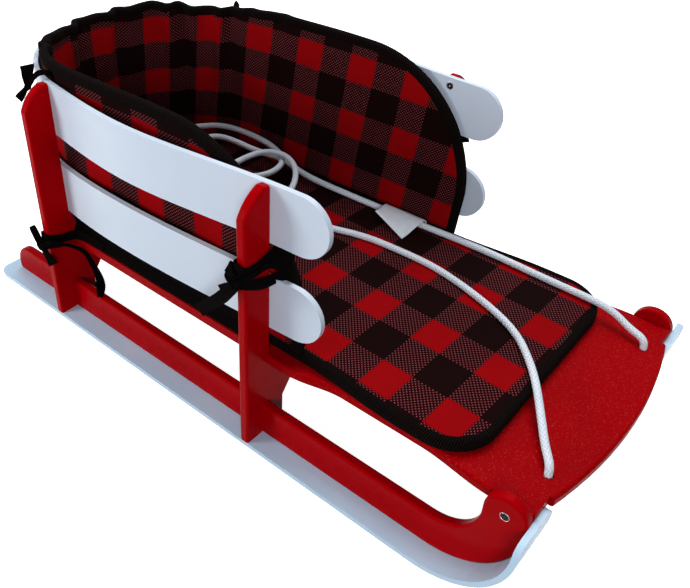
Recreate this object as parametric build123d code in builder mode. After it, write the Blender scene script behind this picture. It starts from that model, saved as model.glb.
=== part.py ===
"""Child's sled cut from plastic sheet, with a quilted seat liner and a tow rope.

The sled is an interlocking kit of flat boards.  Two hooked runners stand on white skis,
two cross frames straddle the runners and carry the deck and the seat back posts, and two
thin white boards are bent into a U between the posts.  A padded liner stands inside the
boards on a long seat pad, and a rope is threaded through the front of the deck.

+X is forward, +Y is the rider's left and +Z is up.  The origin is under the middle of the
sled, on the ground.
"""

import math
import os

from build123d import *

os.makedirs("parts", exist_ok=True)

# ---- Driving dimensions (mm) -------------------------------------------------------------
overall_length = 821.0
overall_width = 400.0
sheet = 12.0  # thickness of the red boards
edge_round = 3.0  # router round-over on every red board
fit = 0.2  # clearance of the joints between boards

ski_width = 64.0
ski_thickness = 6.0
ski_bend_radius = 92.0  # top face of the ski, which is the back of the runner's hook
ski_corner = 15.0
ski_tip_drop = 7.0  # from the deck's top down to the ski's tip

runner_inset = 24.0  # from the ski's outer edge to the runner's outer face
runner_height = 43.0
runner_tail_gap = 20.0  # ski left bare behind the runner
runner_heel = 28.0  # round of the runner's rear top corner
runner_toe = 6.0
head_height = 109.0  # centre of the rounded head and of its bolt
bolt_hole = 5.5
bolt_sink = 11.0

deck_top = 117.0
nose_overhang = 16.0  # deck in front of the skis
nose_depth = 17.0  # rise of the deck's curved front edge
tip_gap = 1.0  # between the deck's step and the ski's inner edge
waist_inset = 9.0  # from the posts' inner faces to the deck's edge at its waist
shoulder_lip = 3.0  # how far the deck's shoulders reach out past those faces
shoulder_length = 24.0
waist_share = 0.377  # straight part of the deck's side, of the way from shoulder to head
flare_share = 0.293  # curve that leads into it
deck_tail_gap = 27.0  # deck end ahead of the skis' rear ends

rope_diameter = 8.0
rope_hole = 9.6
rope_hole_round = 0.8
rope_hole_share = 0.57  # distance between the two holes, of the width
rope_hole_setback = 34.0  # from the deck's foremost point

rear_frame_share = 0.185  # from the skis' rear ends to the rear frame's front face, of the length
frame_spacing_share = 0.415
post_width = 35.0
post_shoulder = 301.0  # outer corner below the rounded post top
post_crown = 7.0  # flat left at the inner end of the rounded top
post_bulge = 4.0
foot_inner_leg = 23.0
foot_height = 40.0
gusset_reach = 14.0
gusset_rise = 18.0
crossbar_depth = 25.0

slat_thickness = 6.0
slat_width = 66.0
slat_back_bulge = 2.2  # how much wider than the posts' gap the round of the back is
slat_back_centre = 27.0  # ahead of the rear frame's front face
slat_bow_setback = 14.0  # of the widest point, behind the middle of the two frames
slat_overhang = 68.0  # in front of the front frame
slat_toe_in = 4.0
top_slat_edge = 328.0  # upper edge above the ground
top_slat_bow = 16.0
lower_slat_edge = 221.0
lower_slat_bow = 9.0
lower_slat_trim = 4.0  # how much shorter the lower slat is in front

pad_thickness = 14.0
pad_edge_round = 6.0
pad_back_gap = 6.0  # between the pad's rear edge and the liner's outer face
pad_seat_inset = 13.0  # from the posts' inner faces
pad_front_inset = 4.0  # from the runners' inner faces
pad_corner = 52.0
pad_flare_gap = 34.3  # from the front frame's front face to the start of the pad's flare
pad_flare_share = 0.822  # length of the flare, of the way from there to the pad's front corner
pad_front_gap = 90.0  # from the pad's front edge to the deck's foremost point

liner_thickness = 10.0
liner_top = 347.0
liner_side_gap = 3.8  # between the liner and the straight part of the bent boards
liner_gap = 8.0  # between the liner's back and the bent boards
liner_overhang = 39.3  # of its foremost point, in front of the front frame
liner_brow = 130.0  # length of the curve by which the rim falls to that point
liner_knee = 202.0  # height of the foremost point
liner_lean = 5.0  # how far the front edge falls back from there to the pad

# ---- Stations that follow from them ------------------------------------------------------
ski_rear = -overall_length / 2
nose = overall_length / 2
rear_frame = ski_rear + rear_frame_share * overall_length
front_frame = rear_frame + frame_spacing_share * overall_length
ski_front = nose - nose_overhang
bend_x = ski_front - ski_thickness - ski_bend_radius
bend_z = ski_thickness + ski_bend_radius
runner_top = ski_thickness + runner_height
runner_outer = overall_width / 2 - runner_inset
runner_inner = runner_outer - sheet
ski_centre = overall_width / 2 - ski_width / 2
head_x = bend_x + ski_bend_radius - runner_height / 2
deck_bottom = deck_top - sheet
post_outer = overall_width / 2
post_inner = post_outer - post_width
slat_face = post_inner - fit
shoulder_half_width = post_inner + shoulder_lip
waist_half_width = post_inner - waist_inset
slat_back_radius = slat_face + slat_back_bulge
liner_half_width = slat_face - slat_thickness - liner_side_gap
liner_front = front_frame + liner_overhang
pad_top = deck_top + pad_thickness
pad_seat_half_width = post_inner - pad_seat_inset
pad_front_half_width = runner_inner - pad_front_inset
pad_front = nose - pad_front_gap
rope_hole_x = nose - rope_hole_setback
rope_hole_y = rope_hole_share * overall_width / 2
beyond = overall_length  # reach of the sketches that trim a solid
SIDES = {"left": 1, "right": -1}


def seat_x(distance: float) -> float:
    """Return the X of a point given forward of the rear frame's front face."""
    return rear_frame + distance


def save(part: Part, label: str) -> None:
    """Label a finished piece and write it as its own STEP file."""
    part.label = label
    export_step(part, f"parts/{label}.step")


# ---- Skis: flat white strips, turned up in front along the runners' hooks ---------------------
def ski(side: str) -> None:
    centre = SIDES[side] * ski_centre
    tip = deck_top - ski_tip_drop
    outer = ski_bend_radius + ski_thickness
    with BuildPart() as strip:
        with BuildSketch(Plane.XZ.offset(-centre)):
            with BuildLine():
                floor = Line((ski_rear, 0), (bend_x, 0))
                under = RadiusArc(floor @ 1, (ski_front, bend_z), -outer)
                front = Line(under @ 1, (ski_front, tip))
                edge = Line(front @ 1, (ski_front - ski_thickness, tip))
                back = Line(edge @ 1, (ski_front - ski_thickness, bend_z))
                upper = RadiusArc(back @ 1, (bend_x, ski_thickness), ski_bend_radius)
                top = Line(upper @ 1, (ski_rear, ski_thickness))
                Line(top @ 1, floor @ 0)
            make_face()
        extrude(amount=ski_width / 2, both=True)
        corners = strip.edges().filter_by(Axis.Z).filter_by(lambda e: e.center().X < ski_rear + 1)
        fillet(corners, ski_corner)
        tips = strip.edges().filter_by(Axis.X).filter_by(lambda e: e.center().Z > tip - 1)
        fillet(tips, ski_corner - 2)
    save(strip.part, f"ski_{side}")


# ---- Runners: hooked bars with a rounded head, bolted to the deck's edge -------------------------
def runner(side: str) -> None:
    centre = SIDES[side] * (runner_outer + runner_inner) / 2
    tail = ski_rear + runner_tail_gap
    inside = ski_bend_radius - runner_height
    front = bend_x + ski_bend_radius
    outward = Plane(origin=(head_x, SIDES[side] * runner_outer, head_height),
                    x_dir=(1, 0, 0), z_dir=(0, SIDES[side], 0))
    with BuildPart() as bar:
        with BuildSketch(Plane.XZ.offset(-centre)):
            with BuildLine():
                sole = Line((tail, ski_thickness), (bend_x, ski_thickness))
                hook = RadiusArc(sole @ 1, (front, bend_z), -ski_bend_radius)
                neck = Line(hook @ 1, (front, head_height))
                head = ThreePointArc(neck @ 1, (head_x, head_height + runner_height / 2),
                                     (front - runner_height, head_height))
                throat = Line(head @ 1, (front - runner_height, bend_z))
                crook = RadiusArc(throat @ 1, (bend_x, runner_top), inside)
                back = Line(crook @ 1, (tail, runner_top))
                Line(back @ 1, sole @ 0)
            make_face()
            corners = vertices().filter_by(lambda v: v.X < tail + 1).sort_by(Axis.Y)
            fillet(corners[0], runner_toe)
            corners = vertices().filter_by(lambda v: v.X < tail + 1).sort_by(Axis.Y)
            fillet(corners[-1], runner_heel)
        extrude(amount=sheet / 2, both=True)
        outline = bar.faces().filter_by(Axis.Y).edges()
        fillet(outline, edge_round)
        with Locations(outward):
            CounterSinkHole(bolt_hole / 2, bolt_sink / 2, counter_sink_angle=90)
    save(bar.part, f"runner_{side}")


# ---- Cross frames: posts, forked feet over the runners, and an arched crossbar -------------------
def cross_frame(label: str, front_face: float) -> None:
    leg_inner = runner_inner - foot_inner_leg
    knee = leg_inner - gusset_reach
    knee_height = foot_height + gusset_rise
    arch_top = deck_bottom - crossbar_depth
    slope = math.atan2(gusset_rise, gusset_reach)
    arch_radius = (arch_top - knee_height) / (1 - math.cos(slope))
    arch_end = knee - arch_radius * math.sin(slope)
    notch_top = runner_top + fit
    crown = post_inner + post_crown
    with BuildPart() as frame:
        with BuildSketch(Plane.YZ.offset(front_face - sheet)):
            with BuildLine():
                rail = Line((0, deck_bottom), (post_inner, deck_bottom))
                inner = Line(rail @ 1, (post_inner, top_slat_edge - 1))
                cap = Line(inner @ 1, (crown, top_slat_edge))
                chord = (Vector(crown, top_slat_edge) + Vector(post_outer, post_shoulder)) / 2
                bulge = chord + Vector(1, 1) * (post_bulge / math.sqrt(2))
                top = ThreePointArc(cap @ 1, bulge, (post_outer, post_shoulder))
                outer = Line(top @ 1, (post_outer, ski_thickness))
                toe = Line(outer @ 1, (runner_outer + fit, ski_thickness))
                cheek = Line(toe @ 1, (runner_outer + fit, notch_top))
                notch = Line(cheek @ 1, (runner_inner - fit, notch_top))
                jaw = Line(notch @ 1, (runner_inner - fit, ski_thickness))
                heel = Line(jaw @ 1, (leg_inner, ski_thickness))
                shin = Line(heel @ 1, (leg_inner, foot_height))
                gusset = Line(shin @ 1, (knee, knee_height))
                arch = RadiusArc(gusset @ 1, (arch_end, arch_top), -arch_radius)
                soffit = Line(arch @ 1, (0, arch_top))
                Line(soffit @ 1, rail @ 0)
            make_face()
            mirror(about=Plane.YZ)
        extrude(amount=sheet)
        rounded = frame.edges().filter_by_position(Axis.Z, deck_bottom + 1, top_slat_edge + 1)
        rounded = rounded.filter_by(lambda e: abs(e.center().Y) > post_inner - 1)
        posts = rounded.filter_by(lambda e: abs(e.bounding_box().size.X) < 0.01)
        outside = posts.filter_by(lambda e: abs(e.center().Y) > post_inner + 1)
        fillet(outside, edge_round)
    save(frame.part, label)


# ---- Deck: one waisted board between the posts, with a bowed nose --------------------------------
def deck() -> None:
    tail = ski_rear + deck_tail_gap
    head_side = runner_inner - fit
    head_back = head_x - runner_height / 2
    tip_back = ski_front - ski_thickness - fit
    tip_inner = post_outer - ski_width - tip_gap
    cheek = nose - nose_depth
    side = post_inner - fit
    shoulder_end = front_frame + fit + shoulder_length
    run = head_back - shoulder_end
    waist = shoulder_end + flare_share * run
    waist_length = waist_share * run
    with BuildPart() as board:
        with BuildSketch(Plane.XY.offset(deck_bottom)):
            with BuildLine():
                bay = Line((rear_frame - sheet, side), (front_frame + fit, side))
                step = Line(bay @ 1, (front_frame + fit, shoulder_half_width))
                shoulder = Line(step @ 1, (shoulder_end, shoulder_half_width))
                dip = Spline(shoulder @ 1, (waist, waist_half_width), tangents=[(1, 0), (1, 0)])
                narrow = Line(dip @ 1, (waist + waist_length, waist_half_width))
                flare = Spline(narrow @ 1, (head_back, head_side), tangents=[(1, 0), (1, 0)])
                cheeks = Line(flare @ 1, (tip_back, head_side))
                rebate = Line(cheeks @ 1, (tip_back, tip_inner))
                ledge = Line(rebate @ 1, (cheek, tip_inner))
                bow = ThreePointArc(ledge @ 1, (nose, 0), (cheek, -tip_inner))
                mirror(bay, about=Plane.XZ)
                mirror(step, about=Plane.XZ)
                mirror(shoulder, about=Plane.XZ)
                mirror(dip, about=Plane.XZ)
                mirror(narrow, about=Plane.XZ)
                mirror(flare, about=Plane.XZ)
                mirror(cheeks, about=Plane.XZ)
                mirror(rebate, about=Plane.XZ)
                mirror(ledge, about=Plane.XZ)
                ThreePointArc(bay @ 0, (tail, 0), (rear_frame - sheet, -side))
            make_face()
            with Locations((rope_hole_x, rope_hole_y), (rope_hole_x, -rope_hole_y)):
                Circle(rope_hole / 2, mode=Mode.SUBTRACT)
        extrude(amount=sheet)
        rims = board.edges().filter_by(GeomType.CIRCLE)
        rims = rims.filter_by(lambda e: abs(e.radius - rope_hole / 2) < 0.01 and e.is_closed)
        fillet(rims, rope_hole_round)
        fronts = board.faces().filter_by(Axis.Z).edges()
        fronts = fronts.filter_by(lambda e: e.center().X > front_frame + 1 and not e.is_closed)
        fronts = fronts.filter_by(lambda e: e.center().X < head_back or abs(e.center().Y) < 1)
        fillet(fronts, edge_round)
    save(board.part, "deck")


# ---- Bent boards: thin white slats carried round the back between the posts -----------------------
def bent_slat(label: str, top_edge: float, bow: float, trim: float) -> None:
    radius = slat_back_radius - slat_thickness / 2
    centre_x = seat_x(slat_back_centre)
    line = slat_face - slat_thickness / 2
    start = math.sqrt(radius**2 - slat_back_centre**2)
    front_post = front_frame - sheet
    tip = front_frame + slat_overhang - trim
    half = slat_width / 2
    middle = (rear_frame + front_post) / 2 - slat_bow_setback
    with BuildPart() as slat:
        with BuildSketch(Plane.XY.offset(top_edge - slat_width)):
            with BuildLine():
                left = Spline((tip, line - slat_toe_in), (front_post, line), (middle, line + bow),
                              (rear_frame, start), tangents=[(-1, 0.04), (-start, -slat_back_centre)])
                back = ThreePointArc((rear_frame, start), (centre_x - radius, 0), (rear_frame, -start))
                mirror(left, about=Plane.XZ)
            trace(line_width=slat_thickness)
        extrude(amount=slat_width)
        with BuildSketch(Plane.XZ.offset(-overall_width), mode=Mode.PRIVATE) as side_view:
            with BuildLine():
                low = Line((-beyond, top_edge - slat_width), (tip - half, top_edge - slat_width))
                end = ThreePointArc(low @ 1, (tip, top_edge - half), (tip - half, top_edge))
                high = Line(end @ 1, (-beyond, top_edge))
                Line(high @ 1, low @ 0)
            make_face()
        extrude(side_view.sketch, amount=2 * overall_width, mode=Mode.INTERSECT)
    save(slat.part, label)


# ---- Seat pad: a long cushion on the deck, wider in front of the liner ----------------------------
def seat_pad() -> None:
    reach = slat_back_radius - slat_thickness - liner_gap
    back_x = seat_x(slat_back_centre) - reach
    curve_start = seat_x(slat_back_centre)
    flare_start = front_frame + pad_flare_gap
    flare_end = flare_start + pad_flare_share * (pad_front - pad_corner - flare_start)
    with BuildPart() as pad:
        with BuildSketch(Plane.XY.offset(deck_top)):
            with BuildLine():
                side = Line((curve_start, pad_seat_half_width), (flare_start, pad_seat_half_width))
                flare = Spline(side @ 1, (flare_end, pad_front_half_width),
                               tangents=[(1, 0), (1, 0)])
                edge = Line(flare @ 1, (pad_front - pad_corner, pad_front_half_width))
                corner = RadiusArc(edge @ 1, (pad_front, pad_front_half_width - pad_corner), pad_corner)
                Line(corner @ 1, (pad_front, -pad_front_half_width + pad_corner))
                mirror(side, about=Plane.XZ)
                mirror(flare, about=Plane.XZ)
                mirror(edge, about=Plane.XZ)
                mirror(corner, about=Plane.XZ)
                ThreePointArc(side @ 0, (back_x + pad_back_gap, 0), (curve_start, -pad_seat_half_width))
            make_face()
        extrude(amount=pad_thickness)
        fillet(pad.edges().group_by(Axis.Z)[-1], pad_edge_round)
    save(pad.part, "seat_pad")


# ---- Liner: a padded wall that follows the bent boards round the seat -----------------------------
def liner() -> None:
    outer = liner_half_width
    inner = outer - liner_thickness
    back_outer = slat_back_radius - slat_thickness - liner_gap
    back_inner = back_outer - liner_thickness
    centre_x = seat_x(slat_back_centre)
    front = liner_front
    with BuildPart() as wall:
        with BuildSketch(Plane.XY.offset(pad_top)):
            with BuildLine():
                out_left = Line((front, outer), (centre_x, outer))
                out_back = ThreePointArc(out_left @ 1, (centre_x - back_outer, 0), (centre_x, -outer))
                out_right = Line(out_back @ 1, (front, -outer))
                end_right = Line(out_right @ 1, (front, -inner))
                in_right = Line(end_right @ 1, (centre_x, -inner))
                in_back = ThreePointArc(in_right @ 1, (centre_x - back_inner, 0), (centre_x, inner))
                in_left = Line(in_back @ 1, (front, inner))
                Line(in_left @ 1, out_left @ 0)
            make_face()
        extrude(amount=liner_top - pad_top)
        with BuildSketch(Plane.XZ.offset(-overall_width), mode=Mode.PRIVATE) as side_view:
            with BuildLine():
                foot = Line((-beyond, pad_top), (front - liner_lean, pad_top))
                shin = Line(foot @ 1, (front, liner_knee))
                brow = EllipticalCenterArc((front - liner_brow, liner_knee),
                                           liner_brow, liner_top - liner_knee,
                                           start_angle=0, arc_size=90)
                rim = Line(brow @ 1, (-beyond, liner_top))
                Line(rim @ 1, foot @ 0)
            make_face()
        extrude(side_view.sketch, amount=2 * overall_width, mode=Mode.INTERSECT)
    save(wall.part, "liner")


# ---- Tow rope: threaded up through the deck's two holes, both ends left lying on the seat -----------
rope_route_length = 821.0  # the sled's length and width that the two routes are laid on
rope_route_width = 400.0
rope_right_route = [
    (376.5, -114, 111), (376.5, -114, 121), (372.5, -109, 127), (361.5, -95, 128), (345.5, -71, 131.5),
    (322.5, -37, 137), (302.5, -11, 137), (274.5, 19, 135.3), (241.5, 38, 135.3), (189.5, 56, 135.3),
    (138.5, 67, 135.3), (91.5, 67, 135.3), (40.5, 64, 135.3), (-3.5, 49, 135.3), (-40.5, 37, 138),
    (-63.5, 39, 148), (-75.5, 54, 157), (-84.5, 77, 162), (-104.5, 100, 167), (-133.5, 110, 170),
    (-157.5, 100, 170), (-169.5, 75, 168), (-171.5, 50, 166),
]
rope_left_route = [
    (376.5, 114, 111), (376.5, 114, 121), (371.5, 116, 127), (355.5, 121, 128), (333.5, 129, 134),
    (309.5, 130, 137), (274.5, 132, 135.8), (232.5, 134, 135.3), (192.5, 137, 135.3), (141.5, 138, 135.3),
    (79.5, 135, 135.3), (14.5, 134, 135.3), (-36.5, 134, 137), (-80.5, 131, 140), (-112.5, 127, 145),
    (-145.5, 127, 150), (-169.5, 134, 156), (-198.5, 137, 159), (-246.5, 137, 160), (-276.5, 126, 161),
    (-292.5, 103, 162), (-305.5, 84, 162), (-309.5, 62, 161), (-301.5, 42, 160), (-282.5, 33, 160),
    (-263.5, 40, 161), (-256.5, 59, 162), (-259.5, 80, 163), (-249.5, 98, 163), (-222.5, 104, 162),
    (-195.5, 105, 160), (-163.5, 109, 159), (-145.5, 113, 160), (-131.5, 105, 160.5), (-124.5, 88, 160.5),
    (-125.5, 69, 159), (-138.5, 54, 156), (-161.5, 48, 150), (-186.5, 51, 143), (-210.5, 58, 137),
]


def stretched(route: list) -> list:
    """Return a rope's route on a sled of the driving length and width."""
    along = overall_length / rope_route_length
    across = overall_width / rope_route_width
    return [(x * along, y * across, z) for x, y, z in route]


def rope_radii(route: list) -> list:
    """Return the largest bend radius that fits each corner of a rope's route."""
    radii = []
    for before, here, after in zip(route, route[1:], route[2:]):
        incoming = Vector(*here) - Vector(*before)
        outgoing = Vector(*after) - Vector(*here)
        turn = math.radians(incoming.get_angle(outgoing))
        shorter = min(incoming.length, outgoing.length)
        radii.append(0.45 * shorter / math.tan(turn / 2))
    return radii


def rope(label: str, route: list) -> None:
    radii = rope_radii(route)
    with BuildPart() as cord:
        with BuildLine():
            path = FilletPolyline(*route, radius=radii)
        with BuildSketch(Plane(origin=path @ 0, z_dir=path % 0)):
            Circle(rope_diameter / 2)
        sweep()
    section = math.pi * (rope_diameter / 2) ** 2
    length = path.length
    print(f"{label}: length {length:.0f} mm, volume share {cord.part.volume / (section * length):.3f}, "
          f"radii {[round(r) for r in radii]}")
    save(cord.part, label)


def rope_bridge() -> None:
    half = rope_hole_y
    low = deck_bottom - rope_diameter
    middle = deck_top - sheet / 2
    route = [(rope_hole_x, -half, middle), (rope_hole_x, -half, low),
             (rope_hole_x, half, low), (rope_hole_x, half, middle)]
    with BuildPart() as cord:
        with BuildLine():
            path = FilletPolyline(*route, radius=rope_diameter)
        with BuildSketch(Plane(origin=path @ 0, z_dir=path % 0)):
            Circle(rope_diameter / 2)
        sweep()
    save(cord.part, "tow_rope_underside")


for side_name in SIDES:
    ski(side_name)
    runner(side_name)
cross_frame("front_frame", front_frame)
cross_frame("rear_frame", rear_frame)
deck()
bent_slat("top_slat", top_slat_edge, top_slat_bow, 0)
bent_slat("lower_slat", lower_slat_edge, lower_slat_bow, lower_slat_trim)
seat_pad()
liner()
rope("tow_rope_right", stretched(rope_right_route))
rope("tow_rope_left", stretched(rope_left_route))
rope_bridge()
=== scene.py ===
"""Dressed model of a child's pull sled: red sheet plastic, white boards, checked seat and rope.

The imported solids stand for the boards, skis and runners, which get moulded-plastic finishes
here.  The seat pad, the liner and the rope are rebuilt as cloth and cord, and the trim that
the solids leave out is added: bound edges, tie ribbons, screws and the rope's blank tag.
"""

import logging
import math
from dataclasses import dataclass, field
from enum import Enum
from typing import Iterable, Sequence

import bmesh
import bpy
from mathutils import Matrix, Vector, noise


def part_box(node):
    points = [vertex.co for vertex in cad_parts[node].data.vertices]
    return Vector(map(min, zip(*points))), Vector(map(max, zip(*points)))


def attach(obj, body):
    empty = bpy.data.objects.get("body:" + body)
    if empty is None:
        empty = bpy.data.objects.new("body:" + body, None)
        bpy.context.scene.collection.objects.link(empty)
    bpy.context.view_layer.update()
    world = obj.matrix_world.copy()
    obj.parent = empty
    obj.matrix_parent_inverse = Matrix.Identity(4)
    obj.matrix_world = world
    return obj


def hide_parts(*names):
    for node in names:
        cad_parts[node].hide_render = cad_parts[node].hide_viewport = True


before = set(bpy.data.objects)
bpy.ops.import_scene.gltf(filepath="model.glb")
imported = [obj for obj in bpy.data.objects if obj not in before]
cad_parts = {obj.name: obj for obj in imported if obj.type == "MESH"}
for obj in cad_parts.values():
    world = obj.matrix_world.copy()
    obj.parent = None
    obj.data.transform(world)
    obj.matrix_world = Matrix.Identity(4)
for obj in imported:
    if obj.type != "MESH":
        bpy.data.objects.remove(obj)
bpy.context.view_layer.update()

LOG = logging.getLogger("sled")
BODY = "root"
WEAVE = "Weave"
MM = 0.001
PLAIN_LIGHT = (1.0, 1.0, 1.0, 1.0)
UP = (0, 0, 1)
SIDEWAYS = (0, 1, 0)


class Slot(Enum):
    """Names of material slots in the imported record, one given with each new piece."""

    WHITE = "white_board"
    CLOTH = "checked_cloth"
    ROPE = "rope_braid"


class Side(Enum):
    """The rider's two sides, with the sign of their Y."""

    LEFT = 1
    RIGHT = -1

    @property
    def label(self) -> str:
        """Return the side as the pieces' names have it."""
        return self.name.lower()


def linear(red: int, green: int, blue: int) -> tuple[float, float, float, float]:
    """Return a display colour as linear light.

    Args:
        red: Red from 0 to 255.
        green: Green from 0 to 255.
        blue: Blue from 0 to 255.

    Returns:
        The colour with an alpha of one.
    """
    channels = []
    for value in (red, green, blue):
        share = value / 255
        channels.append(share / 12.92 if share <= 0.04045 else ((share + 0.055) / 1.055) ** 2.4)
    return (*channels, 1.0)


class Graph:
    """One procedural material, built node by node."""

    def __init__(self, name: str) -> None:
        """Start a material with a shader and its output.

        Args:
            name: Name of the material.
        """
        self.material = bpy.data.materials.new(name)
        self.material.use_nodes = True
        self.tree = self.material.node_tree
        self.tree.nodes.clear()
        self.shader = self.tree.nodes.new("ShaderNodeBsdfPrincipled")
        output = self.tree.nodes.new("ShaderNodeOutputMaterial")
        self.tree.links.new(self.shader.outputs["BSDF"], output.inputs["Surface"])

    def feed(self, socket: bpy.types.NodeSocket, value: object) -> None:
        """Link a socket to another one, or set its value.

        Args:
            socket: Input socket to feed.
            value: Output socket, number or colour.
        """
        if isinstance(value, bpy.types.NodeSocket):
            self.tree.links.new(value, socket)
        else:
            socket.default_value = value

    def node(self, kind: str, inputs: dict, **settings: object) -> bpy.types.Node:
        """Add a node.

        Args:
            kind: Blender's type name of the node.
            inputs: Values or sockets by input name or number.
            settings: Properties of the node.

        Returns:
            The new node.
        """
        made = self.tree.nodes.new(kind)
        for key, value in settings.items():
            setattr(made, key, value)
        for key, value in inputs.items():
            self.feed(made.inputs[key], value)
        return made

    def calc(self, operation: str, *terms: object) -> bpy.types.NodeSocket:
        """Add one arithmetic step.

        Args:
            operation: Name of the Math node's operation.
            terms: Its one, two or three numbers or sockets.

        Returns:
            The result's socket.
        """
        made = self.node("ShaderNodeMath", dict(enumerate(terms)), operation=operation)
        return made.outputs[0]

    def times(self, first: object, second: object) -> bpy.types.NodeSocket:
        """Return the socket of two terms' product."""
        return self.calc("MULTIPLY", first, second)

    def plus(self, first: object, second: object) -> bpy.types.NodeSocket:
        """Return the socket of two terms' sum."""
        return self.calc("ADD", first, second)

    def minus(self, first: object, second: object) -> bpy.types.NodeSocket:
        """Return the socket of the first term less the second."""
        return self.calc("SUBTRACT", first, second)

    def sine(self, value: object, rate: float) -> bpy.types.NodeSocket:
        """Return the socket of the sine of a value times a rate."""
        return self.calc("SINE", self.times(value, rate))

    def ramp(self, value: object, low: float, high: float, start: float = 0.0,
             end: float = 1.0) -> bpy.types.NodeSocket:
        """Map a value smoothly from one range to another.

        Args:
            value: Socket to map.
            low: Input that gives start.
            high: Input that gives end.
            start: Result at low.
            end: Result at high.

        Returns:
            The mapped value's socket.
        """
        inputs = {"Value": value, "From Min": low, "From Max": high, "To Min": start, "To Max": end}
        made = self.node("ShaderNodeMapRange", inputs, interpolation_type="SMOOTHSTEP")
        return made.outputs["Result"]

    def blend(self, share: object, first: object, second: object) -> bpy.types.NodeSocket:
        """Mix two colours.

        Args:
            share: How much of the second colour.
            first: Colour or socket at zero.
            second: Colour or socket at one.

        Returns:
            The mixed colour's socket.
        """
        made = self.tree.nodes.new("ShaderNodeMix")
        made.data_type = "RGBA"
        self.feed(made.inputs[0], share)
        self.feed(made.inputs[6], first)
        self.feed(made.inputs[7], second)
        return made.outputs[2]

    def place(self) -> bpy.types.NodeSocket:
        """Return the socket of the object's coordinates, in metres."""
        return self.node("ShaderNodeTexCoord", {}).outputs["Object"]

    def weave(self) -> tuple[bpy.types.NodeSocket, bpy.types.NodeSocket]:
        """Read the piece's own cloth coordinates.

        Returns:
            Their two sockets.
        """
        uv_map = self.node("ShaderNodeUVMap", {}, uv_map=WEAVE)
        parts = self.node("ShaderNodeSeparateXYZ", {0: uv_map.outputs[0]})
        return parts.outputs[0], parts.outputs[1]

    def grain(self, where: object, scale: float, detail: float) -> bpy.types.NodeSocket:
        """Return the socket of a soft random pattern.

        Args:
            where: Coordinates socket.
            scale: Cells per metre.
            detail: Number of finer layers.

        Returns:
            The pattern's value socket.
        """
        inputs = {"Vector": where, "Scale": scale, "Detail": detail, "Roughness": 0.55}
        return self.node("ShaderNodeTexNoise", inputs).outputs[0]

    def mottle(self, scale: float, start: float = 0.0, end: float = 1.0,
               limits: tuple[float, float] = (0.3, 0.7),
               detail: float = 3.0) -> bpy.types.NodeSocket:
        """Return the socket of soft random patches over the whole piece.

        Args:
            scale: Cells per metre.
            start: Value between the patches.
            end: Value on the patches.
            limits: Heights of the pattern at which the patches start and are full.
            detail: Number of finer layers.

        Returns:
            The patches' value socket.
        """
        return self.ramp(self.grain(self.place(), scale, detail), *limits, start, end)

    def relief(self, height: object, strength: float, depth: float) -> None:
        """Bump the surface by a height.

        Args:
            height: Height socket, about zero to one.
            strength: Strength of the relief.
            depth: Depth of the relief in metres.
        """
        bump = self.node("ShaderNodeBump", {"Height": height, "Strength": strength,
                                            "Distance": depth})
        self.feed(self.shader.inputs["Normal"], bump.outputs[0])

    def surface(self, **values: object) -> None:
        """Set the shader's own sockets, with underscores for the spaces of their names."""
        for key, value in values.items():
            self.feed(self.shader.inputs[key.replace("_", " ")], value)


@dataclass(frozen=True)
class BoardFinish:
    """Glossy moulded sheet plastic with a fine orange peel and a dusting of sparkle."""

    name: str
    colour: tuple
    deep: tuple
    gloss: float
    mirror: float
    sheen: tuple = PLAIN_LIGHT
    peel: float = 0.05
    sparkle: float = 0.0
    spark: tuple = PLAIN_LIGHT
    spark_scale: float = 1080.0
    spark_reach: float = 0.32
    cloud_scale: float = 9.0
    scuff_scale: float = 60.0
    scuff_spread: tuple = (-0.05, 0.07)
    peel_scale: float = 700.0
    peel_depth: float = 0.3 * MM

    def build(self) -> bpy.types.Material:
        """Build the plastic.

        Returns:
            The finished material.
        """
        graph = Graph(self.name)
        where = graph.place()
        cloud = graph.mottle(self.cloud_scale, limits=(0.35, 0.65))
        colour = graph.blend(cloud, self.deep, self.colour)
        if self.sparkle:
            cells = graph.node("ShaderNodeTexVoronoi",
                               {"Vector": where, "Scale": self.spark_scale})
            near = graph.calc("LESS_THAN", cells.outputs["Distance"], self.spark_reach)
            picked = graph.node("ShaderNodeSeparateColor", {0: cells.outputs["Color"]})
            rare = graph.calc("GREATER_THAN", picked.outputs[0], 1.0 - self.sparkle)
            spot = graph.times(graph.times(near, rare), picked.outputs[1])
            colour = graph.blend(spot, colour, self.spark)
        scuff = graph.mottle(self.scuff_scale, *(self.gloss + part for part in self.scuff_spread),
                             detail=4.0)
        graph.surface(Base_Color=colour, Roughness=scuff, Specular_IOR_Level=self.mirror,
                      Specular_Tint=self.sheen)
        graph.relief(graph.grain(where, self.peel_scale, 2.0), self.peel, self.peel_depth)
        return graph.material


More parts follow.
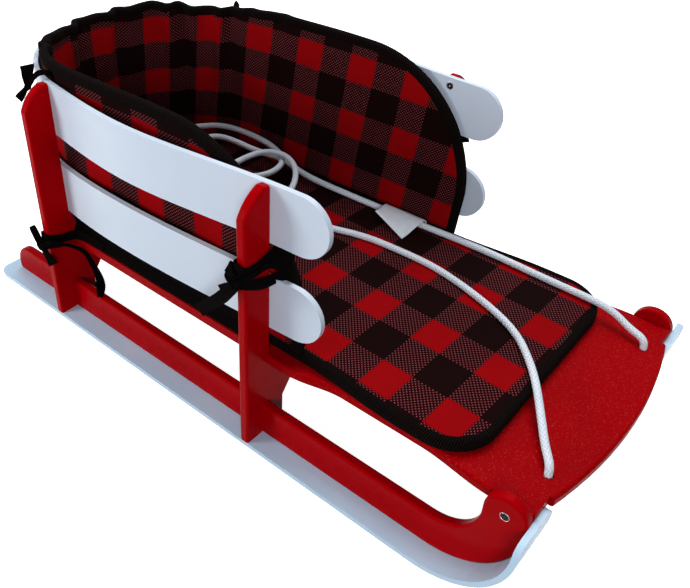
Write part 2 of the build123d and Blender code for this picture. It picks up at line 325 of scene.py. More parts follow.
@dataclass(frozen=True)
class CheckFinish:
    """Two-colour check with solid squares and, between them, a mesh of pale dots."""

    name: str
    red: tuple
    black: tuple
    ground: tuple
    dot: tuple
    steps: float = 36.0
    half_share: float = 0.245
    dot_radius: float = 0.23
    dot_edge: float = 0.07
    fade_scale: float = 30.0
    fade_most: float = 0.08
    relief: tuple = (0.35, 0.4 * MM)

    def build(self) -> bpy.types.Material:
        """Build the checked cloth.

        Returns:
            The finished material.
        """
        graph = Graph(self.name)
        warp, weft = (graph.times(way, self.steps) for way in graph.weave())
        rising = graph.times(graph.plus(warp, weft), 0.5)
        falling = graph.times(graph.minus(warp, weft), 0.5)
        rising_knot = graph.calc("ROUND", rising)
        falling_knot = graph.calc("ROUND", falling)
        bands = []
        for operation in ("ADD", "SUBTRACT"):
            knot = graph.calc(operation, rising_knot, falling_knot)
            offset = graph.calc("FRACT", graph.plus(graph.calc("DIVIDE", knot, self.steps), 0.5))
            distance = graph.calc("ABSOLUTE", graph.minus(offset, 0.5))
            bands.append(graph.calc("LESS_THAN", distance, self.half_share))
        both = graph.times(*bands)
        mixed = graph.minus(graph.minus(graph.plus(*bands), both), both)
        steps = (graph.minus(rising, rising_knot), graph.minus(falling, falling_knot))
        reach = graph.calc("SQRT", graph.plus(*(graph.times(step, step) for step in steps)))
        dots = graph.ramp(reach, self.dot_radius + self.dot_edge, self.dot_radius - self.dot_edge)
        mesh = graph.blend(dots, self.ground, self.dot)
        red = graph.blend(graph.mottle(self.fade_scale, end=self.fade_most), self.red, self.ground)
        colour = graph.blend(mixed, graph.blend(both, self.black, red), mesh)
        graph.surface(Base_Color=colour, Roughness=0.9, Specular_IOR_Level=0.03)
        threads = graph.plus(*(graph.sine(lane, 4 * math.pi) for lane in (rising, falling)))
        graph.relief(graph.ramp(threads, -2.0, 2.0), *self.relief)
        return graph.material


@dataclass(frozen=True)
class RibbedFinish:
    """Woven tape with fine slanted ribs, for bound edges and ribbons, its rib crests painted lighter
    as a highlight.
    """

    name: str
    colour: tuple
    # colour of the painted highlight on the rib crests
    light: tuple
    pitch: float
    slant: float
    fuzz_scale: float = 700.0
    relief: tuple = (0.7, 0.8 * MM)

    def build(self) -> bpy.types.Material:
        """Build the tape.

        Returns:
            The finished material.
        """
        graph = Graph(self.name)
        around, along = graph.weave()
        lean = graph.plus(graph.calc("DIVIDE", along, self.pitch),
                          graph.times(around, self.slant))
        rib = graph.calc("ABSOLUTE", graph.sine(lean, math.pi))
        fuzz = graph.mottle(self.fuzz_scale, start=0.5, detail=2.0)
        # Painted highlight: the rib crests are blended towards the light colour, as if lit.
        top = graph.times(graph.calc("POWER", rib, 3.0), fuzz)
        graph.surface(Base_Color=graph.blend(top, self.colour, self.light), Roughness=0.95,
                      Specular_IOR_Level=0.02)
        graph.relief(rib, *self.relief)
        return graph.material


@dataclass(frozen=True)
class BraidFinish:
    """Solid braid whose strands cross over and under at a steep angle, with painted shade in the
    hollows between the strands.
    """

    name: str
    colour: tuple
    # darker colour for the painted shade between the strands, also used for the dirt patches
    shade: tuple
    strands: float = 7.0
    pitch: float = 10.5 * MM
    dirt_scale: float = 45.0
    dirt_most: float = 0.12
    relief: tuple = (0.5, 0.6 * MM)

    def build(self) -> bpy.types.Material:
        """Build the braid.

        Returns:
            The finished material.
        """
        graph = Graph(self.name)
        around, along = graph.weave()
        turn = graph.times(around, self.strands)
        run = graph.calc("DIVIDE", along, self.pitch / 2)
        lanes = (graph.plus(turn, run), graph.minus(turn, run))
        cell = graph.plus(*(graph.calc("FLOOR", lane) for lane in lanes))
        over = graph.calc("MODULO", graph.calc("ABSOLUTE", cell), 2.0)
        ridges = [graph.sine(graph.calc("FRACT", lane), math.pi) for lane in lanes]
        height = graph.plus(graph.times(over, ridges[0]),
                            graph.times(graph.minus(1.0, over), ridges[1]))
        dirt = graph.mottle(self.dirt_scale, end=self.dirt_most, limits=(0.35, 0.75))
        # Painted shade: the low edges of the strands are blended towards the shade colour.
        colour = graph.blend(graph.ramp(height, 0.0, 0.75), self.shade, self.colour)
        colour = graph.blend(dirt, colour, self.shade)
        graph.surface(Base_Color=colour, Roughness=0.7, Specular_IOR_Level=0.25,
                      Sheen_Weight=0.1, Sheen_Roughness=0.5)
        graph.relief(height, *self.relief)
        return graph.material


@dataclass(frozen=True)
class MetalFinish:
    """Screw steel, coated dark or left bright."""

    name: str
    colour: tuple
    gloss: float
    wear_scale: float = 900.0
    wear_most: float = 0.2

    def build(self) -> bpy.types.Material:
        """Build the steel.

        Returns:
            The finished material.
        """
        graph = Graph(self.name)
        wear = graph.mottle(self.wear_scale, self.gloss, self.gloss + self.wear_most,
                            limits=(0.4, 0.7))
        graph.surface(Base_Color=self.colour, Metallic=0.8, Roughness=wear)
        return graph.material


@dataclass(frozen=True)
class TagFinish:
    """Plain woven label cloth without any print."""

    name: str
    colour: tuple
    shade: tuple
    thread_scale: float = 7000.0
    tone_scale: float = 120.0
    tone_most: float = 0.35
    relief: tuple = (0.3, 0.2 * MM)

    def build(self) -> bpy.types.Material:
        """Build the label cloth.

        Returns:
            The finished material.
        """
        graph = Graph(self.name)
        threads = graph.times(*(graph.sine(way, self.thread_scale) for way in graph.weave()))
        tone = graph.mottle(self.tone_scale, end=self.tone_most)
        graph.surface(Base_Color=graph.blend(tone, self.colour, self.shade), Roughness=0.65,
                      Specular_IOR_Level=0.3)
        graph.relief(graph.ramp(threads, -1.0, 1.0), *self.relief)
        return graph.material


class Finishes:
    """All materials of the sled, each built once."""

    def __init__(self) -> None:
        """Build every material."""
        warm = (1.0, 0.14, 0.14, 1.0)
        self.red = BoardFinish("red_sheet_plastic", linear(168, 0, 8), linear(160, 0, 6),
                               gloss=0.28, mirror=0.025, sheen=warm).build()
        self.deck = BoardFinish("red_speckled_deck", linear(155, 0, 7), linear(147, 0, 6),
                                gloss=0.4, mirror=0.03, sheen=warm, peel=0.3, sparkle=0.2,
                                spark=linear(230, 78, 58)).build()
        self.white = BoardFinish("white_bent_board", linear(207, 219, 234),
                                 linear(203, 216, 232), gloss=0.38, mirror=0.3).build()
        self.ski = BoardFinish("white_ski_strip", linear(194, 222, 243), linear(188, 217, 240),
                               gloss=0.3, mirror=0.2).build()
        self.check = CheckFinish("buffalo_check_cloth", red=linear(147, 5, 10),
                                 black=linear(20, 5, 5), ground=linear(36, 3, 6),
                                 dot=linear(130, 68, 70)).build()
        self.binding = RibbedFinish("black_ribbed_binding", linear(3, 2, 2), linear(30, 22, 20),
                                    pitch=2.6 * MM, slant=5.0).build()
        self.ribbon = RibbedFinish("black_tie_ribbon", linear(6, 4, 4), linear(14, 10, 10),
                                   pitch=1.1 * MM, slant=0.0).build()
        self.braid = BraidFinish("white_braided_rope", linear(232, 239, 247),
                                 linear(176, 188, 204)).build()
        self.tag = TagFinish("blank_white_tag", linear(224, 229, 236),
                             linear(205, 212, 222)).build()
        self.screw = MetalFinish("black_screw_steel", linear(30, 30, 34), gloss=0.35).build()
        self.washer = MetalFinish("bright_washer_steel", linear(200, 204, 210), gloss=0.3).build()


@dataclass
class Station:
    """One cross-section of a swept piece."""

    centre: Vector
    across: Vector
    out: Vector
    half_width: float
    half_depth: float


def smooth_object(bm: bmesh.types.BMesh, name: str, material: bpy.types.Material) -> bpy.types.Object:
    """Make a smooth piece of the sled from a bmesh, at the origin.

    Args:
        bm: The finished mesh, freed here.
        name: Name of the piece.
        material: Its finish.

    Returns:
        The new object.
    """
    mesh = bpy.data.meshes.new(name)
    for face in bm.faces:
        face.smooth = True
    bm.to_mesh(mesh)
    bm.free()
    mesh.materials.append(material)
    piece = bpy.data.objects.new(name, mesh)
    bpy.context.scene.collection.objects.link(piece)
    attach(piece, BODY)
    return piece


def close_seams(bm: bmesh.types.BMesh) -> None:
    """Merge a mesh's doubled corners and turn its faces outwards."""
    bmesh.ops.remove_doubles(bm, verts=bm.verts, dist=1e-6)
    bmesh.ops.recalc_face_normals(bm, faces=bm.faces)


class Sweep:
    """A closed tube or tape carried along a line of cross-sections."""

    def __init__(self, stations: Sequence[Station], segments: int, squareness: float = 1.0,
                 closed: bool = False) -> None:
        """Build the swept mesh.

        Args:
            stations: Cross-sections in order.
            segments: Corners of each cross-section.
            squareness: One for an ellipse, less for a rounded bar.
            closed: Whether the last cross-section meets the first.
        """
        self.bm = bmesh.new()
        self.segments = segments
        self.squareness = squareness
        self.layer = self.bm.loops.layers.uv.new(WEAVE)
        self.travelled = self.distances(stations, closed)
        self.rings = [self.ring(station) for station in stations]
        pairs = list(zip(self.rings, self.rings[1:]))
        if closed:
            pairs.append((self.rings[-1], self.rings[0]))
        for number, (first, second) in enumerate(pairs):
            self.join(first, second, number)
        if not closed:
            for tip in (self.rings[0], self.rings[-1]):
                bmesh.ops.contextual_create(self.bm, geom=self.edges(tip))
        bmesh.ops.recalc_face_normals(self.bm, faces=self.bm.faces)

    def piece(self, name: str, material: bpy.types.Material, slot: Slot) -> bpy.types.Object:
        """Return the sweep as a smooth piece of the sled."""
        return smooth_object(self.bm, name, material)

    @staticmethod
    def distances(stations: Sequence[Station], closed: bool) -> list[float]:
        """Add up the way from station to station.

        Args:
            stations: Cross-sections in order.
            closed: Whether the way goes back to the first.

        Returns:
            The distance travelled at each station, and back at the start if closed.
        """
        total = [0.0]
        path = list(stations) + ([stations[0]] if closed else [])
        for first, second in zip(path, path[1:]):
            total.append(total[-1] + (second.centre - first.centre).length)
        return total

    def ring(self, station: Station) -> list[bmesh.types.BMVert]:
        """Add the corners of one cross-section.

        Args:
            station: Where it lies and how wide it is.

        Returns:
            The corners, in order round it.
        """
        made = bmesh.ops.create_circle(self.bm, segments=self.segments, radius=1.0)
        for vert in made["verts"]:
            wide, deep = vert.co.x, vert.co.y
            wide = math.copysign(abs(wide) ** self.squareness, wide)
            deep = math.copysign(abs(deep) ** self.squareness, deep)
            vert.co = (station.centre + station.across * wide * station.half_width
                       + station.out * deep * station.half_depth)
        return made["verts"]

    @staticmethod
    def edges(ring: Sequence[bmesh.types.BMVert]) -> list[bmesh.types.BMEdge]:
        """Find the edges that run round one cross-section.

        Args:
            ring: Its corners.

        Returns:
            The edges.
        """
        members = set(ring)
        found = {edge for vert in ring for edge in vert.link_edges
                 if edge.verts[0] in members and edge.verts[1] in members}
        return list(found)

    def join(self, first: Sequence[bmesh.types.BMVert], second: Sequence[bmesh.types.BMVert],
             number: int) -> None:
        """Bridge two cross-sections and lay the cloth coordinates on the new faces.

        Args:
            first: Corners of the earlier cross-section.
            second: Corners of the later one.
            number: How many pairs came before.
        """
        made = bmesh.ops.bridge_loops(self.bm, edges=self.edges(first) + self.edges(second))
        place = {vert: (step, self.travelled[number]) for step, vert in enumerate(first)}
        place.update({vert: (step, self.travelled[number + 1])
                      for step, vert in enumerate(second)})
        for face in made["faces"]:
            steps = [place[loop.vert][0] for loop in face.loops]
            wraps = max(steps) - min(steps) > self.segments / 2
            for loop in face.loops:
                step, run = place[loop.vert]
                turn = step + self.segments if wraps and step < self.segments / 2 else step
                loop[self.layer].uv = (turn / self.segments, run)


def heading(points: Sequence[Vector], number: int, closed: bool = False) -> Vector:
    """Return the unit direction in which a line runs at one of its points.

    Args:
        points: The line.
        number: Which of its points.
        closed: Whether the line comes back to its start.

    Returns:
        The direction from the point before to the point after.
    """
    count = len(points)
    before = points[number - 1] if number or closed else points[0]
    after = points[(number + 1) % count] if number < count - 1 or closed else points[-1]
    return (after - before).normalized()


def carried(points: Sequence[Vector], up: Vector, half_width: float, half_depth: float,
            closed: bool = False) -> list[Station]:
    """Return cross-sections along a line, turned as little as the line allows.

    Args:
        points: The line.
        up: Direction that the first cross-section's width should follow.
        half_width: Half of the section's width.
        half_depth: Half of its thickness.
        closed: Whether the line comes back to its start.

    Returns:
        One station for each point.
    """
    stations = []
    across = up.copy()
    for number, here in enumerate(points):
        ahead = heading(points, number, closed)
        across = (across - ahead * across.dot(ahead)).normalized()
        stations.append(Station(here, across.copy(), ahead.cross(across), half_width, half_depth))
    return stations


def flowing(controls: Sequence[Sequence[float]], steps: int) -> list[list[float]]:
    """Return a smooth run of rows through some control rows.

    Args:
        controls: Rows of numbers, all of one length.
        steps: How many rows each stretch between two controls gives.

    Returns:
        The smooth rows, ends included.
    """
    rows = []
    last = len(controls) - 1
    for number in range(last):
        ends = [controls[max(number - 1, 0)], controls[number], controls[number + 1],
                controls[min(number + 2, last)]]
        for step in range(steps):
            share = step / steps
            rows.append([catmull(*values, share) for values in zip(*ends)])
    rows.append(list(controls[-1]))
    return rows


def catmull(before: float, start: float, end: float, after: float, share: float) -> float:
    """Return one value on a smooth curve through four even values.

    Args:
        before: Value before the stretch.
        start: Value at its start.
        end: Value at its end.
        after: Value after it.
        share: Place on the stretch, from zero to one.

    Returns:
        The value at that place.
    """
    bend = 2 * before - 5 * start + 4 * end - after
    twist = -before + 3 * start - 3 * end + after
    return 0.5 * (2 * start + (end - before) * share + bend * share**2 + twist * share**3)


def ripple(first: float, second: float, scale: float, seed: float) -> float:
    """Return a soft random value, about minus one to one, at a place on a cushion.

    Args:
        first: Distance along the cushion.
        second: Distance across it.
        scale: Ripples per metre.
        seed: Number that sets one pattern apart from the others.

    Returns:
        The value.
    """
    return noise.noise(Vector((first * scale, second * scale, seed)))


def smooth_step(value: float) -> float:
    """Return an eased share of a value between zero and one."""
    value = min(max(value, 0.0), 1.0)
    return value * value * (3 - 2 * value)


@dataclass
class Boards:
    """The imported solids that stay, with their plastic finishes."""

    finishes: Finishes
    bent_boards: tuple = ("top_slat", "lower_slat")

    def build(self) -> None:
        """Dress every rigid node."""
        for name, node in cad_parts.items():
            material = self.material(name)
            if material:
                node.data.materials.clear()
                node.data.materials.append(material)
                LOG.info("dressed %s", name)

    def material(self, name: str) -> bpy.types.Material | None:
        """Choose the finish of a node.

        Args:
            name: Name of the node.

        Returns:
            The finish of a rigid node, or None for a soft one.
        """
        if name == "deck":
            return self.finishes.deck
        if name.startswith("runner") or name.endswith("frame"):
            return self.finishes.red
        if name in self.bent_boards:
            return self.finishes.white
        return self.finishes.ski if name.startswith("ski") else None


@dataclass
class SeatPad:
    """Long cushion on the deck with a bound edge."""

    finishes: Finishes
    seat_half_width: float = 151.8 * MM
    round_start: float = -231.6 * MM
    flare_start: float = 116.4 * MM
    flare_end: float = 241.4 * MM
    corner: float = 52 * MM
    columns: int = 84
    round_columns: int = 14
    front_steps: int = 16
    rows: int = 56
    crown: float = 1.2 * MM
    crown_reach: float = 70 * MM
    settle: float = 1.0 * MM
    ripple: float = 0.8 * MM
    ripple_scale: float = 14.0
    puff_reach: float = 20 * MM
    rim_round: float = 9 * MM
    underside_gap: float = 0.4 * MM
    underside_swell: float = 1.5
    binding_inset: float = 4.6 * MM
    binding_half: tuple = (7.6 * MM, 5.0 * MM)
    check_origin: tuple = (128.5 * MM, -31.5 * MM)
    check_size: tuple = (78.0 * MM, 89.5 * MM)
    check_turn: float = math.radians(-2.2)
    low: Vector = field(init=False)
    high: Vector = field(init=False)

    def __post_init__(self) -> None:
        """Read the pad's box."""
        self.low, self.high = (Vector(corner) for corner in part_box("seat_pad"))
        sagitta = self.round_start - self.low.x
        self.back_radius = (sagitta**2 + self.seat_half_width**2) / (2 * sagitta)
        self.back_centre = self.low.x + self.back_radius

    def half_width(self, x: float) -> float:
        """Work out the outline's half width.

        Args:
            x: Station.

        Returns:
            The distance from the middle to the outline.
        """
        if x < self.round_start:
            return math.sqrt(max(self.back_radius**2 - (x - self.back_centre)**2, 0.0))
        flare = smooth_step((x - self.flare_start) / (self.flare_end - self.flare_start))
        wide = self.seat_half_width + (self.high.y - self.seat_half_width) * flare
        past = x - (self.high.x - self.corner)
        if past > 0:
            wide -= self.corner - math.sqrt(max(self.corner**2 - past**2, 0.0))
        return wide

    def stations(self) -> list[float]:
        """Place the columns of the cushion's mesh, closer in the round parts.

        Returns:
            The X of each column, from the rear.
        """
        quarter = self.round_columns
        rear = [self.round_start - (self.round_start - self.low.x)
                * math.cos(0.5 * math.pi * step / quarter) for step in range(quarter)]
        start = self.high.x - self.corner
        straight = self.columns - 2 * quarter
        middle = [self.round_start + (start - self.round_start) * step / straight
                  for step in range(straight)]
        front = [start + self.corner * math.sin(0.5 * math.pi * step / quarter)
                 for step in range(quarter + 1)]
        return rear + middle + front

    def edge_distance(self, x: float, y: float) -> float:
        """Work out how far a point lies inside the outline.

        Args:
            x: Station.
            y: Distance to the left.

        Returns:
            The distance to the nearest edge.
        """
        y = abs(y)
        if x < self.round_start:
            return self.back_radius - math.hypot(x - self.back_centre, y)
        nearest = min(self.half_width(min(x, self.high.x - self.corner)) - y, self.high.x - x)
        past = x - (self.high.x - self.corner)
        over = y - (self.high.y - self.corner)
        if past > 0 and over > 0:
            nearest = self.corner - math.hypot(past, over)
        return nearest

    def build(self) -> None:
        """Build the cushion and its binding."""
        cushion = self.cushion()
        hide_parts("seat_pad")
        self.binding()
        LOG.info("built seat pad")

    def cushion(self) -> bpy.types.Object:
        """Build the checked cushion.

        Returns:
            The new object.
        """
        bm = bmesh.new()
        layer = bm.loops.layers.uv.new(WEAVE)
        stations = self.stations()
        count = len(stations) - 1
        for face_up in (True, False):
            made = bmesh.ops.create_grid(bm, x_segments=count, y_segments=self.rows, size=1.0)
            for vert in made["verts"]:
                column = round((vert.co.x + 1) / 2 * count)
                x = stations[column]
                y = self.half_width(x) * math.sin(0.5 * math.pi * vert.co.y)
                vert.co = (x, y, self.height(x, y, face_up))
        close_seams(bm)
        for face in bm.faces:
            for loop in face.loops:
                loop[layer].uv = self.check_place(loop.vert.co)
        return smooth_object(bm, "seat_cushion", self.finishes.check)

    def height(self, x: float, y: float, face_up: bool) -> float:
        """Return the height of the cushion's skin over a point.

        Args:
            x: Station.
            y: Distance to the left.
            face_up: Whether the upper skin is meant.

        Returns:
            Height in metres.
        """
        distance = max(self.edge_distance(x, y), 0.0)
        middle = (self.low.z + self.high.z) / 2
        half = (self.high.z - self.low.z) / 2
        swell = math.sqrt(max(1 - (1 - min(distance / self.rim_round, 1)) ** 2, 0.0))
        if not face_up:
            swell = min(swell * self.underside_swell, 1.0)
            return middle - (half - self.underside_gap) * swell
        puff = ripple(x, y, self.ripple_scale, 0.4) * self.ripple
        puff += self.crown * smooth_step(distance / self.crown_reach) - self.settle
        return middle + half * swell + puff * smooth_step(distance / self.puff_reach)

    def check_place(self, point: Vector) -> tuple[float, float]:
        """Lay the checks flat on the cushion, turned a little.

        Args:
            point: Place on the cushion.

        Returns:
            Its cloth coordinates, in checks.
        """
        x, y = point.x - self.check_origin[0], point.y - self.check_origin[1]
        cosine, sine = math.cos(self.check_turn), math.sin(self.check_turn)
        return ((x * cosine + y * sine) / self.check_size[0],
                (y * cosine - x * sine) / self.check_size[1])

    def outline(self, inset: float) -> list[Vector]:
        """Return the closed line that runs round the cushion.

        Args:
            inset: Distance of the line inside the outline.

        Returns:
            Points at the cushion's mid height.
        """
        middle = (self.low.z + self.high.z) / 2
        edge = [Vector((x, self.half_width(x), middle)) for x in self.stations()]
        flat = edge[-1].y
        across = [Vector((self.high.x, flat * (1 - 2 * step / self.front_steps), middle))
                  for step in range(1, self.front_steps)]
        ring = edge + across + [Vector((p.x, -p.y, p.z)) for p in reversed(edge[1:])]
        moved = []
        for number, here in enumerate(ring):
            ahead = heading(ring, number, closed=True)
            moved.append(here + Vector((ahead.y, -ahead.x, 0.0)) * inset)
        return moved

    def binding(self) -> bpy.types.Object:
        """Build the tape folded over the cushion's edge.

        Returns:
            The new object.
        """
        stations = carried(self.outline(self.binding_inset), Vector(UP),
                           *self.binding_half, closed=True)
        sweep = Sweep(stations, segments=16, squareness=0.62, closed=True)
        return sweep.piece("pad_binding", self.finishes.binding, Slot.CLOTH)


@dataclass
class Liner:
    """Padded wall round the seat, with a bound rim.

    Distances along the wall run from its left end, round the back, to its right end.  The knee,
    the brow and the front gap each have a value for the left end and one for the right end.
    The rows are in millimetres.  The crest gives distances and heights.  A fold is its place
    along the rim, width, depth, reach down the wall, and slant as a share.  The check marks are
    where the checks change, from the place where the wall starts to turn.  A black strip at the
    foot, partly the liner's own foot and partly painted shadow on the deck's edge, is its name,
    distance from the middle, height, lean, half width and drift.
    """

    finishes: Finishes
    round_centre: float = -231.6 * MM
    foot: float = 131 * MM
    knee: tuple = (190 * MM, 151 * MM)
    brow: tuple = (150 * MM, 187 * MM)
    front_gap: tuple = (0.0, 3.5 * MM)
    lean: float = 5 * MM
    lean_length: float = 60 * MM
    line_inset: float = 5 * MM
    crest: tuple = (
        (0, 345.5), (120, 345.5), (210, 346.5), (290, 345.5), (345, 342.5), (385, 335.5),
        (440, 332), (475, 337), (500, 339), (545, 337), (600, 336.5), (650, 338), (700, 342),
        (760, 345), (830, 345.5), (1170, 345.5),
    )
    folds: tuple = (
        (292, 9, 2.0, 70, 0.10), (385, 7, 5.5, 140, 0.05), (400, 9, -9.5, 130, 0.05),
        (360, 12, -5.0, 100, 0.0), (464, 8, 6.0, 190, -0.05), (480, 9, -9.0, 170, -0.05),
        (444, 9, -6.5, 140, -0.05), (552, 8, 5.0, 120, 0.12), (569, 9, -8.5, 120, 0.12),
        (533, 11, -4.5, 110, 0.1), (616, 9, 5.0, 140, 0.15), (635, 10, -8.0, 120, 0.1),
        (335, 13, -3.4, 90, 0.0), (503, 8, 3.0, 80, 0.0), (690, 12, 3.0, 90, 0.0),
        (742, 45, 4.0, 130, 0.0), (712, 7, 4.0, 60, 0.0), (724, 7, -5.0, 60, 0.0),
    )
    half_thickness: float = 4.6 * MM
    edge_round: float = 9 * MM
    puff: float = 0.22
    puff_scale: float = 22.0
    sway: float = 1.2 * MM
    sway_scale: float = 9.0
    sway_start: float = 30 * MM
    columns_side: int = 70
    columns_bend: int = 24
    columns_back: int = 80
    rows: int = 44
    check_size: float = 77.0 * MM
    check_row: float = 307 * MM
    check_drop: float = 6 * MM
    check_marks: tuple = (-273.6, -191.6, -109.6, -21, 65, 145, 226, 314, 408, 504.2, 594.7)
    check_lean: float = -0.125
    lean_reach: float = 250 * MM
    binding_half: tuple = (6.8 * MM, 6.0 * MM)
    binding_inset: float = 5 * MM
    binding_start: float = 0.85
    binding_gain: float = 0.2
    binding_steps: int = 8
    tape_height: float = 125.8 * MM
    tape_half: tuple = (8.0 * MM, 2.0 * MM)
    tape_end: float = 4 * MM
    tape_steps: int = 64
    # Black strips that are partly the liner's foot and partly painted shadow on the deck's edge.
    strips: tuple = (("flap", 160.6, 125.4, 0.5, 7.9, 0.7), ("band", 157.0, 139.0, 0.06, 8.0, 0.28))
    strip_depth: float = 0.9 * MM
    strip_gap: float = 1.5 * MM
    strip_steps: int = 48
    drift_scale: float = 16.0
    low: Vector = field(init=False)
    high: Vector = field(init=False)

    def __post_init__(self) -> None:
        """Read the liner's box."""
        self.low, self.high = (Vector(corner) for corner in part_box("liner"))
        self.half_width = self.high.y - self.line_inset
        self.back_reach = self.round_centre - self.low.x - self.line_inset
        self.sides = tuple(self.high.x - self.round_centre - gap for gap in self.front_gap)
        self.back_length = math.pi * (self.half_width + self.back_reach) / 2

    def plan(self, run: float) -> tuple[Vector, Vector]:
        """Return the wall's mid line and its outward direction at a distance from its left end.

        Args:
            run: Distance along the wall.

        Returns:
            The point on the ground plan and the outward unit vector.
        """
        if run < self.sides[0]:
            x = self.round_centre + self.sides[0] - run
            return (Vector((x, self.half_width, 0.0)), Vector(SIDEWAYS))
        past = run - self.sides[0]
        if past > self.back_length:
            x = self.round_centre + past - self.back_length
            return (Vector((x, -self.half_width, 0.0)), Vector((0, -1, 0)))
        angle = math.pi * past / self.back_length
        place = Vector((self.round_centre - self.back_reach * math.sin(angle),
                        self.half_width * math.cos(angle), 0.0))
        out = Vector((-self.half_width * math.sin(angle), self.back_reach * math.cos(angle), 0.0))
        return place, out.normalized()

    def total(self) -> float:
        """Return the wall's whole length."""
        return sum(self.sides) + self.back_length

    def nearest(self, run: float) -> tuple[int, float]:
        """Return the wall's nearer end, zero for the left one, and the distance from it."""
        side = 0 if run < self.total() / 2 else 1
        return side, run if side == 0 else self.total() - run

    def rim(self, run: float) -> float:
        """Work out the height of the wall's upper edge.

        Args:
            run: Distance along the wall.

        Returns:
            The height, brought down near both ends.
        """
        side, from_end = self.nearest(run)
        fall = self.brow[side] - from_end
        top = self.crest_height(run)
        if fall <= 0:
            return top
        share = math.sqrt(max(1 - (fall / self.brow[side]) ** 2, 0.0))
        return self.knee[side] + (top - self.knee[side]) * share

    def crest_height(self, run: float) -> float:
        """Work out the height that the rim has where neither brow brings it down.

        Args:
            run: Distance along the wall.

        Returns:
            The height.
        """
        for number, (start, height) in enumerate(self.crest[:-1]):
            end, after = self.crest[number + 1]
            if run <= end * MM:
                share = smooth_step((run / MM - start) / (end - start))
                return (height + (after - height) * share) * MM
        return self.crest[-1][1] * MM

    def front_x_shift(self, run: float, z: float) -> float:
        """Work out how far the front edge falls back below its foremost point.

        Args:
            run: Distance along the wall.
            z: Height.

        Returns:
            The distance to the rear.
        """
        side, from_end = self.nearest(run)
        below = max(self.knee[side] - z, 0.0) / (self.knee[side] - self.foot)
        return self.lean * below * max(1 - from_end / self.lean_length, 0.0)

    def off_line(self, run: float, z: float, offset: float) -> Vector:
        """Return a point beside the wall's mid line.

        Args:
            run: Distance along the wall.
            z: Height.
            offset: Distance outwards from the mid line.

        Returns:
            The point, with the front edge's lean in it.
        """
        place, out = self.plan(run)
        return place + out * offset + Vector((-self.front_x_shift(run, z), 0, z))

    def wave(self, run: float, z: float) -> float:
        """Return how far the wall stands out from its mid line, folds included.

        Args:
            run: Distance along the wall.
            z: Height.

        Returns:
            Distance outwards.
        """
        below = max(self.rim(run) - z, 0.0)
        sway = ripple(run, z, self.sway_scale, 3.1) * self.sway
        for place, width, depth, reach, slant in self.folds:
            away = (run / MM - place - slant * below / MM) / width
            sway += depth * MM * math.exp(-away * away - (below / MM / reach) ** 2)
        return sway * min((z - self.foot) / self.sway_start, 1.0)

    def skin(self, run: float, share: float, inner: bool) -> Vector:
        """Return a point of the wall's skin.

        Args:
            run: Distance along the wall.
            share: Height share from the foot to the rim.
            inner: Whether the seat's side is meant.

        Returns:
            The point.
        """
        top = self.rim(run)
        z = self.foot + (top - self.foot) * share
        depth = min(share, 1 - share) * (top - self.foot)
        taper = 1.0
        for inside in (depth, self.nearest(run)[1]):
            taper *= math.sqrt(min(inside / self.edge_round, 1.0))
        puff = 1 + self.puff * ripple(run, z, self.puff_scale, 7.7)
        offset = self.half_thickness * taper * puff * (-1 if inner else 1)
        return self.off_line(run, z, offset + self.wave(run, z))

    def check_place(self, run: float, z: float) -> tuple[float, float]:
        """Lay the checks along the wall, as wide as its check marks say.

        Args:
            run: Distance along the wall.
            z: Height.

        Returns:
            The cloth coordinates there, in checks.
        """
        past = run - self.sides[0]
        back = math.sin(math.pi * min(max(past / self.back_length, 0.0), 1.0))
        across = (z - self.check_row + self.check_drop * back) / self.check_size
        last = len(self.check_marks) - 2
        mark = 0
        while mark < last and past > self.check_marks[mark + 1] * MM:
            mark += 1
        start, end = (value * MM for value in self.check_marks[mark:mark + 2])
        along = -mark - (past - start) / (end - start)
        lean = self.check_lean * min(max(1 - past / self.lean_reach, 0.0), 1.0)
        return across, along + lean * across

    def runs(self) -> list[float]:
        """Place the columns of the wall's mesh.

        Returns:
            The distance along the wall of each column.
        """
        back = [self.sides[0] + self.back_length * step / self.columns_back
                for step in range(self.columns_back + 1)]
        ends = [self.side_runs(*pair) for pair in zip(self.brow, self.sides)]
        total = self.total()
        return ends[0] + back + [total - run for run in reversed(ends[1])]

    def side_runs(self, brow: float, side: float) -> list[float]:
        """Place the columns of one side, closer where the rim comes down.

        Args:
            brow: How far the rim takes to come down.
            side: Length of the side.

        Returns:
            The columns' distances from the front edge.
        """
        bend = self.columns_bend
        flat = self.columns_side - bend
        curved = [brow * (1 - math.cos(0.5 * math.pi * step / bend)) for step in range(bend)]
        return curved + [brow + (side - brow) * step / flat for step in range(flat)]

    def build(self) -> None:
        """Build the wall and its binding."""
        wall = self.wall()
        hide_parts("liner")
        self.binding()
        for side in Side:
            self.skirt(side)
        self.foot_tape()
        LOG.info("built liner")

    def wall(self) -> bpy.types.Object:
        """Build the checked wall.

        Returns:
            The new object.
        """
        bm = bmesh.new()
        layer = bm.loops.layers.uv.new(WEAVE)
        cloth = bm.verts.layers.float_vector.new("cloth")
        runs = self.runs()
        count = len(runs) - 1
        for inner in (True, False):
            made = bmesh.ops.create_grid(bm, x_segments=count, y_segments=self.rows, size=1.0)
            for vert in made["verts"]:
                column = round((vert.co.x + 1) / 2 * count)
                share = 0.5 + 0.5 * math.sin(0.5 * math.pi * vert.co.y)
                run = runs[column]
                vert.co = self.skin(run, share, inner)
                vert[cloth] = (run, vert.co.z, 0.0)
        close_seams(bm)
        for face in bm.faces:
            for loop in face.loops:
                run, z, _ = loop.vert[cloth]
                loop[layer].uv = self.check_place(run, z)
        return smooth_object(bm, "liner_wall", self.finishes.check)

